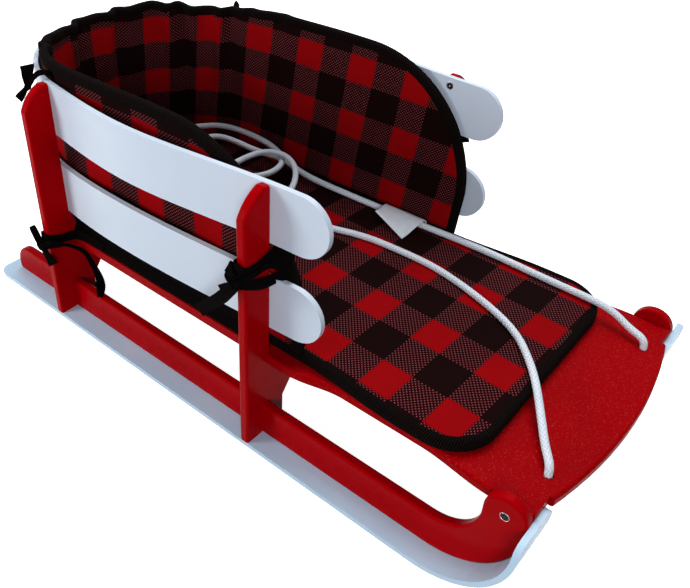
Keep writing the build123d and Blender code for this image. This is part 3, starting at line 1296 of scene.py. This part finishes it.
    def binding(self) -> bpy.types.Object:
        """Build the tape folded over the rim and down both front edges.

        Returns:
            The new object.
        """
        climbs = [[(run, self.foot + (knee - self.foot) * step / self.binding_steps)
                   for step in range(self.binding_steps)]
                  for run, knee in zip((0.0, self.total()), self.knee)]
        path = climbs[0] + [(run, self.rim(run)) for run in self.runs()] + climbs[1][::-1]
        points = [self.off_line(run, z, self.wave(run, z)) for run, z in path]
        stations = []
        for number, (run, _) in enumerate(path):
            out = self.plan(run)[1]
            wide = self.binding_start + self.binding_gain * number / len(path)
            inward = heading(points, number).cross(out).normalized()
            if inward.z > 0 and abs(inward.z) > abs(inward.x):
                inward.negate()
            if abs(inward.x) >= abs(inward.z) and inward.x > 0:
                inward.negate()
            centre = points[number] + inward * (self.binding_inset * wide)
            stations.append(Station(centre, inward, out,
                                    *(half * wide for half in self.binding_half)))
        sweep = Sweep(stations, segments=16, squareness=0.6)
        return sweep.piece("liner_binding", self.finishes.binding, Slot.CLOTH)

    def foot_tape(self) -> None:
        """Build the black tape between the wall's round foot and the deck."""
        start = self.sides[0] + self.tape_end
        length = self.back_length - 2 * self.tape_end
        line = [self.plan(start + length * step / self.tape_steps)[0]
                + Vector((0, 0, self.tape_height)) for step in range(self.tape_steps + 1)]
        stations = carried(line, Vector(UP), *self.tape_half)
        sweep = Sweep(stations, segments=12, squareness=0.6)
        sweep.piece("liner_foot_tape", self.finishes.ribbon, Slot.CLOTH)

    def skirt(self, side: Side) -> None:
        """Build the black strips from the wall's foot to the deck's edge, partly the liner's black
        foot and partly a dark sheet painted as the shadow on the deck's edge.

        Args:
            side: Side of the sled that it is on.
        """
        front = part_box("front_frame")[0][0] - self.strip_gap
        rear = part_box("rear_frame")[1][0] + self.strip_gap
        # Painted shadow: these black strips also cover the deck's edge where it lies in shade beside
        # the pad.
        for name, y, z, lean, half, drift in self.strips:
            line = []
            for step in range(self.strip_steps + 1):
                x = rear + (front - rear) * step / self.strip_steps
                spot = Vector((x * self.drift_scale, side.value * 3.0, y))
                line.append(Vector((x, side.value * (y + noise.noise(spot) * drift) * MM, z * MM)))
            across = Vector((0, side.value * lean, -1)).normalized()
            stations = carried(line, across, half * MM, self.strip_depth)
            sweep = Sweep(stations, segments=12, squareness=0.5)
            sweep.piece(f"liner_{name}_{side.label}", self.finishes.ribbon, Slot.CLOTH)


@dataclass
class TowRope:
    """Braided rope in two free ends and the stretch that joins them under the deck."""

    finishes: Finishes
    tag: bpy.types.Object
    diameter: float = 8 * MM
    hole_x: float = 376.5
    hole_y: float = 114.0
    hole_height: float = 111.0
    bend_near: float = 1.5
    bend_far: float = 5.0
    tip_share: float = 0.72
    tip_inset: float = 1.1 * MM
    right: tuple = (
        (376.5, -114, 111), (376.5, -114, 121), (372.5, -109, 127), (361.5, -95, 128),
        (345.5, -71, 131.5), (322.5, -37, 137), (302.5, -11, 137), (274.5, 19, 135.3),
        (241.5, 38, 135.3), (189.5, 56, 135.3), (138.5, 67, 135.3), (91.5, 67, 135.3),
        (40.5, 64, 135.3), (-3.5, 49, 135.3), (-40.5, 37, 138), (-63.5, 39, 148),
        (-75.5, 54, 157), (-84.5, 77, 162), (-104.5, 100, 167), (-133.5, 110, 170),
        (-157.5, 100, 170), (-169.5, 75, 168), (-171.5, 50, 166),
    )
    left: tuple = (
        (376.5, 114, 111), (376.5, 114, 121), (371.5, 116, 127), (355.5, 121, 128),
        (333.5, 129, 134), (309.5, 130, 137), (274.5, 132, 135.8), (232.5, 134, 135.3),
        (192.5, 136, 135.3), (141.5, 136, 135.3), (79.5, 132.5, 135.3), (14.5, 131.5, 135.3),
        (-36.5, 129.5, 136), (-80.5, 125, 139), (-112.5, 122, 144), (-145.5, 125.5, 150),
        (-169.5, 134, 156), (-198.5, 137, 159), (-246.5, 137, 160), (-276.5, 126, 161),
        (-292.5, 103, 162), (-305.5, 84, 162), (-309.5, 62, 161), (-301.5, 42, 160),
        (-282.5, 33, 160), (-263.5, 40, 161), (-256.5, 59, 162), (-259.5, 80, 163),
        (-249.5, 98, 163), (-222.5, 104, 162), (-195.5, 105, 160), (-163.5, 109, 159),
        (-145.5, 113, 160), (-131.5, 105, 160.5), (-124.5, 88, 160.5), (-125.5, 69, 159),
        (-138.5, 54, 156), (-161.5, 48, 150), (-186.5, 51, 143), (-210.5, 58, 137),
    )

    def build(self) -> None:
        """Build both free ends and the stretch under the deck."""
        for label, route, length, carried_pieces in (
                ("tow_rope_right", self.right, 0.716, ()),
                ("tow_rope_left", self.left, 1.117, (self.tag,))):
            line = self.line(label, route)
            piece = self.tube(f"{label}_braid", line)
            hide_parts(label)
        self.underside()
        LOG.info("built tow rope")

    @staticmethod
    def line(label: str, route: Iterable[Sequence[float]]) -> list[Vector]:
        """Return the smooth line of a rope, read from its spline.

        Args:
            label: Name for the passing curve.
            route: Control points in millimetres.

        Returns:
            Points in metres, a few millimetres apart.
        """
        curve = bpy.data.curves.new(f"{label}_line", "CURVE")
        curve.dimensions = "3D"
        curve.resolution_u = 12
        spline = curve.splines.new("NURBS")
        points = [Vector(point) * MM for point in route]
        spline.points.add(len(points) - 1)
        for point, place in zip(spline.points, points):
            point.co = (*place, 1.0)
        spline.order_u = 3
        spline.use_endpoint_u = True
        holder = bpy.data.objects.new(f"{label}_line", curve)
        mesh = bpy.data.meshes.new_from_object(holder)
        line = [vert.co.copy() for vert in mesh.vertices]
        bpy.data.meshes.remove(mesh)
        bpy.data.objects.remove(holder)
        bpy.data.curves.remove(curve)
        return line

    def tube(self, name: str, line: list[Vector]) -> bpy.types.Object:
        """Build a braided tube along a line, its ends drawn in a little.

        Args:
            name: Name of the piece.
            line: Points in metres.

        Returns:
            The new object.
        """
        half = self.diameter / 2
        stations = carried(line, Vector(SIDEWAYS), half, half)
        for tip, step in ((0, 1), (-1, -1)):
            first = stations[tip]
            inward = (stations[tip + step].centre - first.centre).normalized()
            cap = Station(first.centre.copy(), first.across, first.out, half * self.tip_share,
                          half * self.tip_share)
            first.centre = first.centre + inward * self.tip_inset
            stations.insert(0 if tip == 0 else len(stations), cap)
        sweep = Sweep(stations, segments=20)
        return sweep.piece(name, self.finishes.braid, Slot.ROPE)

    def underside(self) -> None:
        """Build the held stretch between the two holes, under the deck."""
        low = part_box("tow_rope_underside")[0][2] / MM + self.diameter / MM / 2
        half = self.hole_y
        near, far = self.bend_near, self.bend_far
        down = [(half, self.hole_height), (half, low + far), (half - near, low + near),
                (half - far, low)]
        places = [(-y, z) for y, z in down] + [(0, low)] + down[::-1]
        route = [(self.hole_x, y, z) for y, z in places]
        piece = self.tube("rope_bridge", self.line("bridge", route))
        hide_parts("tow_rope_underside")


@dataclass
class Fasteners:
    """Screws through the bent boards and in the runners' heads.

    A profile is a row of radii and heights in millimetres, turned about the screw's axis.
    """

    finishes: Finishes
    board_faces: tuple = (("front", 158.8 * MM), ("rear", 159.2 * MM))
    heights: tuple = (318 * MM, 272 * MM, 211 * MM, 165 * MM)
    forward: float = 2.4 * MM
    head_setback: float = 21.5 * MM
    head_height: float = 109 * MM
    turn_steps: int = 28
    dished_washer: tuple = ((2.6, -0.3), (2.6, 0.7), (4.6, 0.9), (5.3, 0.5), (5.4, -0.3),
                            (2.6, -0.3))
    domed_head: tuple = ((0.0, 1.2), (1.2, 1.2), (1.3, 2.2), (2.4, 2.1), (3.5, 1.6), (4.0, 0.8),
                         (3.9, 0.5), (0.0, 0.5))
    socket: tuple = ((0.0, 1.7), (1.0, 1.7), (1.1, 1.2), (0.0, 1.2))
    sunk_head: tuple = ((0.0, -3.4), (2.0, -3.4), (2.1, -1.6), (3.7, -0.9), (4.0, -1.3),
                        (2.3, -3.6), (2.3, -6.0), (0.0, -6.0))
    # Thin bright ring that stands in for the glint on the countersunk hole's edge, a painted
    # highlight.
    sunk_rim: tuple = ((4.3, -0.6), (4.35, 0.2), (4.65, 0.2), (4.7, -0.6), (4.3, -0.6))

    def build(self) -> None:
        """Build every screw."""
        for side in Side:
            for place, face in self.board_faces:
                low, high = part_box(f"{place}_frame")
                x = (low[0] + high[0]) / 2 + self.forward
                for number, z in enumerate(self.heights):
                    name = f"{place}_slat_screw_{side.label}_{number + 1}"
                    self.screw(name, Vector((x, side.value * face, z)),
                               Vector((0, -side.value, 0)))
            self.head_screw(side)
        LOG.info("built screws")

    def disc(self, name: str, centre: Vector, out: Vector,
             profile: Sequence[tuple[float, float]],
             material: bpy.types.Material) -> bpy.types.Object:
        """Return a round piece of metal turned about an axis.

        Args:
            name: Name of the piece.
            centre: Point on the axis where the profile's height is zero.
            out: Direction of the axis.
            profile: Pairs of radius and height in millimetres.
            material: Finish of the piece.

        Returns:
            The new object.
        """
        bm = bmesh.new()
        layer = bm.loops.layers.uv.new(WEAVE)
        verts = [bm.verts.new((radius * MM, 0.0, height * MM)) for radius, height in profile]
        edges = [bm.edges.new(pair) for pair in zip(verts, verts[1:])]
        bmesh.ops.spin(bm, geom=verts + edges, cent=(0, 0, 0), axis=UP,
                       angle=2 * math.pi, steps=self.turn_steps, use_merge=True)
        close_seams(bm)
        turn = Vector(UP).rotation_difference(out).to_matrix().to_4x4()
        bmesh.ops.transform(bm, matrix=Matrix.Translation(centre) @ turn, verts=bm.verts)
        for face in bm.faces:
            for loop in face.loops:
                loop[layer].uv = (loop.vert.co.x, loop.vert.co.z)
        return smooth_object(bm, name, material)

    def screw(self, name: str, centre: Vector, out: Vector) -> None:
        """Build one dished washer and the socket-head screw in it.

        Args:
            name: Name of the screw.
            centre: Point of the board's face on its axis.
            out: Direction that its head looks.
        """
        self.disc(f"{name}_washer", centre, out, self.dished_washer, self.finishes.washer)
        self.disc(name, centre, out, self.domed_head, self.finishes.screw)
        self.disc(f"{name}_socket", centre, out, self.socket, self.finishes.washer)

    def head_screw(self, side: Side) -> None:
        """Build the countersunk screw that ties a runner's head to the deck, and a thin bright ring
        round it that stands in for the glint on the hole's edge.

        Args:
            side: Side of the sled that it is on.
        """
        low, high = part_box(f"runner_{side.label}")
        outer = high[1] if side is Side.LEFT else low[1]
        centre = Vector((high[0] - self.head_setback, outer, self.head_height))
        out = Vector((0, side.value, 0))
        self.disc(f"head_screw_{side.label}", centre, out, self.sunk_head, self.finishes.screw)
        # Painted highlight: a thin bright ring in place of the glint on the hole's edge.
        self.disc(f"head_rim_{side.label}", centre, out, self.sunk_rim, self.finishes.washer)


@dataclass
class Ties:
    """Ribbons that tie the liner to the posts, with their knots, loops and tails."""

    finishes: Finishes
    half_width: float = 4.2 * MM
    half_depth: float = 0.55 * MM
    knot_steps: int = 12
    knot_start: float = 0.92
    knot_gain: float = 0.1
    knot_squash: float = 0.8
    knot_wander: float = 0.8
    knot_width: float = 0.85

    def ribbon(self, name: str, side: Side, rows: Sequence[Sequence[float]],
               steps: int = 8) -> bpy.types.Object:
        """Return a flat ribbon.

        Args:
            name: Name of the piece.
            side: Side of the sled that it is on; the rows are given for the right.
            rows: Points in millimetres, each with the direction of the ribbon's width and the
                share of its full width.
            steps: Cross-sections between two rows.

        Returns:
            The new object.
        """
        stations = []
        smooth = flowing(rows, steps)
        places = [Vector(row[:3]) for row in smooth]
        for number, row in enumerate(smooth):
            ahead = heading(places, number)
            across = Vector(row[3:6])
            across = (across - ahead * across.dot(ahead)).normalized()
            vectors = [places[number] * MM, across, ahead.cross(across)]
            for vector in vectors:
                vector.y *= -side.value
            stations.append(Station(*vectors, self.half_width * row[6], self.half_depth))
        sweep = Sweep(stations, segments=12, squareness=0.5)
        return sweep.piece(f"{name}_{side.label}", self.finishes.ribbon, Slot.CLOTH)

    def knot(self, name: str, side: Side, centre: Sequence[float], size: float) -> None:
        """Build a small hard knot of crossing turns.

        Args:
            name: Name of the piece.
            side: Side of the sled that it is on; the centre is given for the right.
            centre: Middle of the knot in millimetres.
            size: Half of its width in millimetres.
        """
        turns = ((Vector((1, 0.2, 0.5)), Vector((0.1, 1, 0))),
                 (Vector((0.2, 0.3, 1)), Vector((0.9, 0.9, 0))),
                 (Vector((0.9, 0.5, -0.6)), Vector((0.2, 0.4, 1))))
        for number, (first, second) in enumerate(turns):
            first = first.normalized()
            second = (second - first * second.dot(first)).normalized()
            axis = first.cross(second)
            reach = size * (self.knot_start + self.knot_gain * number)
            rows = []
            for step in range(self.knot_steps + 1):
                angle = 2 * math.pi * step / self.knot_steps
                offset = (first * math.cos(angle) * reach
                          + second * math.sin(angle) * reach * self.knot_squash
                          + axis * math.sin(angle + number) * self.knot_wander)
                rows.append((*(Vector(centre) + offset), *axis, self.knot_width))
            self.ribbon(f"{name}_turn{number + 1}", side, rows, steps=3)

    def build(self) -> None:
        """Build the ties on both sides."""
        for side in Side:
            self.front_tie(side)
            self.rear_low_tie(side)
            self.rear_top_tie(side)
        LOG.info("built ties")

    def front_tie(self, side: Side) -> None:
        """Build the tie round a front post, between the two boards.

        Args:
            side: Side of the sled that it is on.
        """
        self.ribbon("front_tie_upper", side, [
            (104, -156.5, 246, *UP, 2.2), (95, -160.0, 249, 0, 0.2, 1, 2.1),
            (86.5, -163.5, 249, 0, 0.3, 1, 1.9), (84.0, -171, 247.5, 0, 0.1, 1, 1.6),
            (83.9, -188, 245.5, *UP, 1.35), (82.0, -201.6, 247, 0.1, 0, 1, 1.4),
            (76.0, -203.6, 249, *UP, 1.5), (69.5, -202.6, 250, 0.1, 0, 1, 1.4),
            (67.2, -196, 249, *UP, 1.2), (67.4, -180, 247, *UP, 1.1),
            (66.5, -167, 246, *UP, 1.0), (56, -157.5, 246, *UP, 1.0),
        ])
        self.ribbon("front_tie_middle", side, [
            (104, -156.8, 236, *UP, 1.6), (95, -161.0, 238, 0, 0.2, 1, 1.3),
            (88.0, -165.5, 239.5, 0, 0.4, 1, 1.0), (85.4, -174, 240.5, 0, 0.1, 1, 0.9),
            (85.0, -190, 240, *UP, 1.0), (82.5, -202.8, 239, 0.1, 0, 1, 1.2),
            (76.0, -204.4, 240, *UP, 1.4), (68.4, -203.4, 241, 0.1, 0, 1, 1.4),
            (65.6, -196, 242, *UP, 1.2), (66.0, -184, 241, *UP, 1.0),
        ])
        self.ribbon("front_tie_lower", side, [
            (104, -156.4, 229, *UP, 1.3), (96, -158.4, 227, 0, 0.2, 1, 1.25),
            (88.5, -163.5, 222.5, 0, 0.3, 1, 1.4), (85.0, -172, 220.5, 0, 0.1, 1, 1.7),
            (84.8, -188, 226.5, *UP, 1.5), (82.0, -202.4, 232, 0.1, 0, 1, 1.3),
            (76.0, -203.8, 232, *UP, 1.4), (69.5, -202.8, 231.5, 0.1, 0, 1, 1.2),
            (67.4, -196, 232, *UP, 1.1), (67.4, -184, 232, *UP, 1.0),
        ])
        self.ribbon("front_tie_loop", side, [
            (77, -206.5, 236, *UP, 1.0), (70, -207.5, 244, 0.4, 0, 0.6, 1.2),
            (64.0, -205, 248, 0, 0.5, 0.6, 1.4), (62.6, -200, 242, *SIDEWAYS, 1.4),
            (66.0, -204, 235, 0, 0.5, 0.6, 1.3), (75, -206.8, 233, 0.3, 0, 1, 1.1),
        ])
        self.knot("front_knot", side, (78, -207.0, 237), 6.6)
        self.ribbon("front_tail_long", side, [
            (77, -209.0, 234, 1, 0, 0.5, 1.5), (68, -209, 222, 0.9, 0, -0.5, 1.6),
            (57, -208, 208, 0.7, 0.2, -0.7, 1.7), (44, -206.5, 194, 0.5, 0.3, -0.8, 1.75),
            (31, -205, 181, 0.3, 0.2, -1, 1.8), (19.5, -204, 168, 0.2, 0, -1, 1.75),
        ])
        self.ribbon("front_tail_short", side, [
            (76, -209.0, 234, 0.3, 0, 1, 1.0), (67, -210, 228, 0.3, 0, 1, 1.0),
            (58, -210, 220, 0.4, 0, 1, 1.15),
        ])
        if side is Side.LEFT:
            self.ribbon("front_tie_end", side, [
                (92, -159.5, 252, *UP, 1.5), (101, -160.5, 257, *UP, 1.6),
                (110, -161.5, 261, *UP, 1.7),
            ])

    def rear_low_tie(self, side: Side) -> None:
        """Build the tie round a rear post's foot, at the pad's height.

        Args:
            side: Side of the sled that it is on.
        """
        self.ribbon("rear_tie_upper", side, [
            (-196, -162.4, 125, 0, 0.5, 1, 1.1), (-222, -163.4, 125, 0, 0.4, 1, 1.4),
            (-240, -164.6, 124, 0, 0.2, 1, 1.6), (-251, -166, 121, 0, 0.1, 1, 1.6),
            (-256.9, -171.5, 119, *UP, 1.6), (-257.2, -186, 122.5, *UP, 1.4),
            (-258.2, -200.6, 129, 0.1, 0, 1, 1.4),
            (-264.5, -202.6, 130.5, *UP, 1.4), (-271.2, -201.4, 130, 0.1, 0, 1, 1.3),
            (-272.4, -190, 128, *UP, 1.1), (-272.4, -172, 126, *UP, 1.0),
        ])
        self.ribbon("rear_tie_lower", side, [
            (-257.3, -184, 112, *UP, 0.9), (-258.4, -200.8, 119, 0.1, 0, 1, 1.3),
            (-264.5, -203.0, 118, *UP, 1.5), (-271.6, -201.8, 116.5, 0.1, 0, 1, 1.3),
            (-272.9, -190, 116, *UP, 1.0), (-272.9, -174, 117, *UP, 0.9),
        ])
        self.knot("rear_knot", side, (-264, -206.4, 121), 6.6)
        self.ribbon("rear_loop", side, [
            (-266, -207, 121, *SIDEWAYS, 0.8), (-270.0, -207.6, 130, *SIDEWAYS, 0.9),
            (-274.0, -207.8, 137.5, *SIDEWAYS, 0.9), (-277.4, -207.8, 141.6, *SIDEWAYS, 0.9),
            (-280.8, -207.4, 141.8, *SIDEWAYS, 0.9), (-281.6, -207, 138, *SIDEWAYS, 0.9),
            (-278.8, -206.6, 130, *SIDEWAYS, 0.9), (-273, -206.4, 121, *SIDEWAYS, 0.9),
            (-266, -206.4, 116, *SIDEWAYS, 0.8),
        ])
        self.ribbon("rear_tail_short", side, [
            (-263, -207.6, 117, 0.8, 0.5, 0.4, 1.0), (-258.5, -207, 109, 0.8, 0.5, 0.4, 1.15),
            (-253, -206, 101, 0.8, 0.5, 0.4, 1.55), (-249.5, -205.4, 95.5, 0.8, 0.5, 0.4, 1.8),
        ])
        self.ribbon("rear_tail_long", side, [
            (-259, -207, 124, 0, 0.2, 1, 0.9), (-251, -202, 126.5, 0, 0.2, 1, 0.8),
            (-246, -193, 122.5, 0, 0.3, 1, 0.7), (-243.2, -183, 117, 0, 0.5, 1, 0.6),
            (-240.5, -176, 111.5, 0, 0.8, 1, 0.6), (-235, -171.5, 108, 0, 1, 0.8, 0.65),
            (-227.2, -169.4, 104, 0, 1, 0.5, 0.75), (-219.5, -168.8, 95, 0, 1, 0.2, 0.8),
            (-210.4, -168.8, 86.5, 0, 1, 0.2, 0.8), (-203.0, -169.2, 78.5, 0.2, 1, 0, 0.8),
            (-199.4, -170, 67, 0.4, 1, 0, 0.8), (-199.0, -173, 57.5, 0.5, 1, 0, 0.75),
            (-200.2, -176, 51.2, 0.5, 1, 0, 0.75),
        ])
        self.ribbon("rear_tail_return", side, [
            (-228.5, -168.4, 103, 0, 1, 0.5, 0.7), (-221, -168, 91.5, 0, 1, 0.2, 0.75),
            (-213.5, -168.4, 82, 0.2, 1, 0, 0.75), (-210.0, -169.6, 73, 0.2, 1, 0, 0.7),
            (-208.6, -171, 64.5, 0.3, 1, 0, 0.7), (-204.6, -173.6, 56.5, 0.4, 0.8, 0, 0.75),
            (-201.2, -176.4, 51.2, 0.6, 0.8, 0, 0.75),
        ])

    def rear_top_tie(self, side: Side) -> None:
        """Build the tie behind a rear post, over the upper board's edge.

        Args:
            side: Side of the sled that it is on.
        """
        self.ribbon("top_tie_over", side, [
            (-260, -149.5, 328, 0.6, -0.3, -0.5, 0.8), (-264, -153.5, 333, 0.5, -0.4, -0.6, 0.8),
            (-268, -159.5, 336.5, 0.4, -0.4, -0.7, 0.8),
            (-271, -166, 337.0, 0.5, -0.2, -0.7, 0.8),
            (-274.5, -171, 333, 0.7, 0, -0.6, 0.8), (-279, -173.8, 326, 0.7, 0.1, -0.55, 0.75),
            (-283, -175.5, 319.5, 0.7, 0.1, -0.5, 0.7),
        ])
        self.knot("top_knot", side, (-283.5, -176.2, 319.5), 2.8)
        self.ribbon("top_tail_low", side, [
            (-284, -176.3, 319.5, 0, 0.5, -1, 0.7), (-284.5, -180.5, 316, 0, 0.6, -1, 1.0),
            (-284.5, -185.5, 312, 0, 0.9, -0.6, 1.4), (-284.5, -190.5, 308.5, 0, 1, -0.3, 1.5),
        ])
        if side is Side.RIGHT:
            self.ribbon("top_tail_up", side, [
                (-284, -175.7, 319, 0, 1, 0.2, 0.75), (-284, -175.3, 324.5, 0, 1, 0.1, 1.15),
                (-284, -174.0, 332, 0, 1, -0.2, 1.75), (-284, -172.3, 339.5, 0, 1, -0.5, 2.1),
                (-284, -171.6, 345, 0, 1, -0.8, 2.35),
            ])
        else:
            self.ribbon("top_tail_back", side, [
                (-284, -176, 319, 0, 0.4, 1, 0.75), (-291, -177, 317, 0, 0.4, 1, 1.2),
                (-299, -178.5, 312, 0, 0.4, 1, 1.6), (-306, -180, 306, 0, 0.4, 1, 1.7),
            ])


@dataclass
class RopeTag:
    """Blank cloth tag folded round the left rope.

    A row is a point in millimetres and the reach from there to the strip's edge.
    """

    finishes: Finishes
    half_depth: float = 0.3 * MM
    rows: tuple = (
        (51.5, 99.0, 139.8, 25.5, -6.0, -7.2), (51.8, 106.0, 140.0, 26.5, -5.0, -5.8),
        (52.0, 115.0, 140.7, 27.8, -3.6, -3.6), (52.0, 124.0, 141.9, 29.0, -2.0, -1.8),
        (52.0, 131.5, 142.6, 29.6, -0.6, -0.6), (52.0, 136.5, 141.6, 30.0, 0.4, 0.0),
        (52.3, 139.6, 138.9, 30.0, 0.6, 0.0), (52.6, 141.2, 135.6, 29.6, 0.6, 0.0),
        (52.9, 141.8, 132.4, 29.4, 0.6, 0.0),
    )

    def build(self) -> bpy.types.Object:
        """Build both leaves and the fold as one strip.

        Returns:
            The new object.
        """
        stations = []
        places = [Vector(row[:3]) for row in self.rows]
        for number, row in enumerate(self.rows):
            half = Vector(row[3:])
            across = half.normalized()
            out = heading(places, number).cross(across).normalized()
            stations.append(Station(places[number] * MM, across, out, half.length * MM,
                                    self.half_depth))
        LOG.info("built tag")
        sweep = Sweep(stations, segments=12, squareness=0.35)
        return sweep.piece("rope_tag", self.finishes.tag, Slot.WHITE)


@dataclass
class Studio:
    """Camera, lamps and a pale floor."""

    place: tuple = (0.5004, -0.6415, 0.7051)
    right: tuple = (0.7456, 0.6664, 0.0012)
    upward: tuple = (-0.387, 0.4315, 0.8149)
    backward: tuple = (0.5425, -0.608, 0.5796)
    lens: float = 41.83
    sensor: float = 36.0
    shift: tuple = (0.1171, -0.0633)
    near_clip: float = 0.05
    lamps: tuple = (
        ("key_lamp", (-0.85, -1.15, 0.62), (-0.1, 0.0, 0.15), 0.45, 9.0, (1.0, 0.99, 0.98)),
        ("front_lamp", (1.4, -1.8, 1.15), (0.1, 0.0, 0.2), 0.7, 24.5, (0.97, 0.98, 1.0)),
        ("top_lamp", (-0.2, 0.7, 1.9), (0.0, 0.0, 0.15), 1.3, 33.0, (0.96, 0.98, 1.0)),
    )
    floor_half: float = 6.0
    floor_drop: float = 0.5 * MM
    floor_shade: tuple = (0.3, 0.3, 0.31, 1.0)
    floor_white: tuple = (0.96, 0.96, 0.97, 1.0)
    floor_glow: float = 0.97
    soft_sky: tuple = (0.93, 0.965, 1.0, 1.0)
    soft_strength: float = 0.15

    def build(self) -> None:
        """Build the whole set."""
        self.camera()
        self.floor()
        self.sky()
        for lamp in self.lamps:
            self.lamp(*lamp)
        bpy.context.scene.view_settings.view_transform = "Standard"
        LOG.info("built studio")

    def camera(self) -> None:
        """Add the camera."""
        data = bpy.data.cameras.new("camera")
        data.sensor_fit = "HORIZONTAL"
        data.sensor_width = self.sensor
        data.lens = self.lens
        data.shift_x, data.shift_y = self.shift
        data.clip_start = self.near_clip
        camera = bpy.data.objects.new("camera", data)
        matrix = Matrix((self.right, self.upward, self.backward)).transposed().to_4x4()
        matrix.translation = Vector(self.place)
        camera.matrix_world = matrix
        bpy.context.scene.collection.objects.link(camera)
        bpy.context.scene.camera = camera

    def floor(self) -> None:
        """Add a floor that is white to the eye and to gloss, and grey to soft light."""
        bm = bmesh.new()
        bmesh.ops.create_grid(bm, x_segments=1, y_segments=1, size=self.floor_half)
        mesh = bpy.data.meshes.new("floor")
        bm.to_mesh(mesh)
        bm.free()
        floor = bpy.data.objects.new("floor", mesh)
        graph = Graph("floor_paper")
        seen = self.seen(graph)
        colour = graph.blend(seen, self.floor_shade, self.floor_white)
        glow = graph.times(seen, self.floor_glow)
        graph.surface(Base_Color=colour, Roughness=1.0, Specular_IOR_Level=0.0,
                      Emission_Color=PLAIN_LIGHT, Emission_Strength=glow)
        mesh.materials.append(graph.material)
        floor.location.z = -self.floor_drop
        bpy.context.scene.collection.objects.link(floor)

    @staticmethod
    def seen(graph: Graph) -> bpy.types.NodeSocket:
        """Tell what the camera, gloss and glass see from soft light.

        Args:
            graph: Material to add the nodes to.

        Returns:
            A socket that is one for them and zero for soft light.
        """
        rays = graph.node("ShaderNodeLightPath", {})
        direct = graph.calc("MAXIMUM", rays.outputs["Is Camera Ray"],
                            rays.outputs["Is Glossy Ray"])
        return graph.calc("MAXIMUM", direct, rays.outputs["Is Transmission Ray"])

    def sky(self) -> None:
        """Light the set softly from all round, and show white to the camera and to gloss."""
        world = bpy.data.worlds.new("sky")
        world.use_nodes = True
        tree = world.node_tree
        tree.nodes.clear()
        output = tree.nodes.new("ShaderNodeOutputWorld")
        rays = tree.nodes.new("ShaderNodeLightPath")
        mix = tree.nodes.new("ShaderNodeMixShader")
        for number, (colour, strength) in enumerate(((self.soft_sky, self.soft_strength),
                                                     (PLAIN_LIGHT, 1.0))):
            light = tree.nodes.new("ShaderNodeBackground")
            light.inputs["Color"].default_value = colour
            light.inputs["Strength"].default_value = strength
            tree.links.new(light.outputs[0], mix.inputs[number + 1])
        share = rays.outputs["Is Camera Ray"]
        for kind in ("Is Glossy Ray", "Is Transmission Ray"):
            either = tree.nodes.new("ShaderNodeMath")
            either.operation = "MAXIMUM"
            tree.links.new(share, either.inputs[0])
            tree.links.new(rays.outputs[kind], either.inputs[1])
            share = either.outputs[0]
        tree.links.new(share, mix.inputs[0])
        tree.links.new(mix.outputs[0], output.inputs["Surface"])
        bpy.context.scene.world = world

    def lamp(self, name: str, place: Sequence[float], target: Sequence[float], size: float,
             power: float, colour: Sequence[float]) -> None:
        """Add a soft square lamp.

        Args:
            name: Name of the lamp.
            place: Where it hangs, in metres.
            target: What it points at.
            size: Length of its sides.
            power: Power in watts.
            colour: Colour of its light.
        """
        data = bpy.data.lights.new(name, "AREA")
        data.size = size
        data.energy = power
        data.color = colour
        lamp = bpy.data.objects.new(name, data)
        aim = (Vector(target) - Vector(place)).to_track_quat("-Z", "Y")
        lamp.matrix_world = Matrix.Translation(Vector(place)) @ aim.to_matrix().to_4x4()
        bpy.context.scene.collection.objects.link(lamp)


def main() -> None:
    """Build the dressed sled and its studio."""
    logging.basicConfig(level=logging.INFO, format="%(message)s")
    finishes = Finishes()
    Studio().build()
    TowRope(finishes, RopeTag(finishes).build()).build()
    Boards(finishes).build()
    SeatPad(finishes).build()
    Liner(finishes).build()
    Fasteners(finishes).build()
    Ties(finishes).build()
    bpy.context.view_layer.update()


if __name__ == "__main__":
    main()
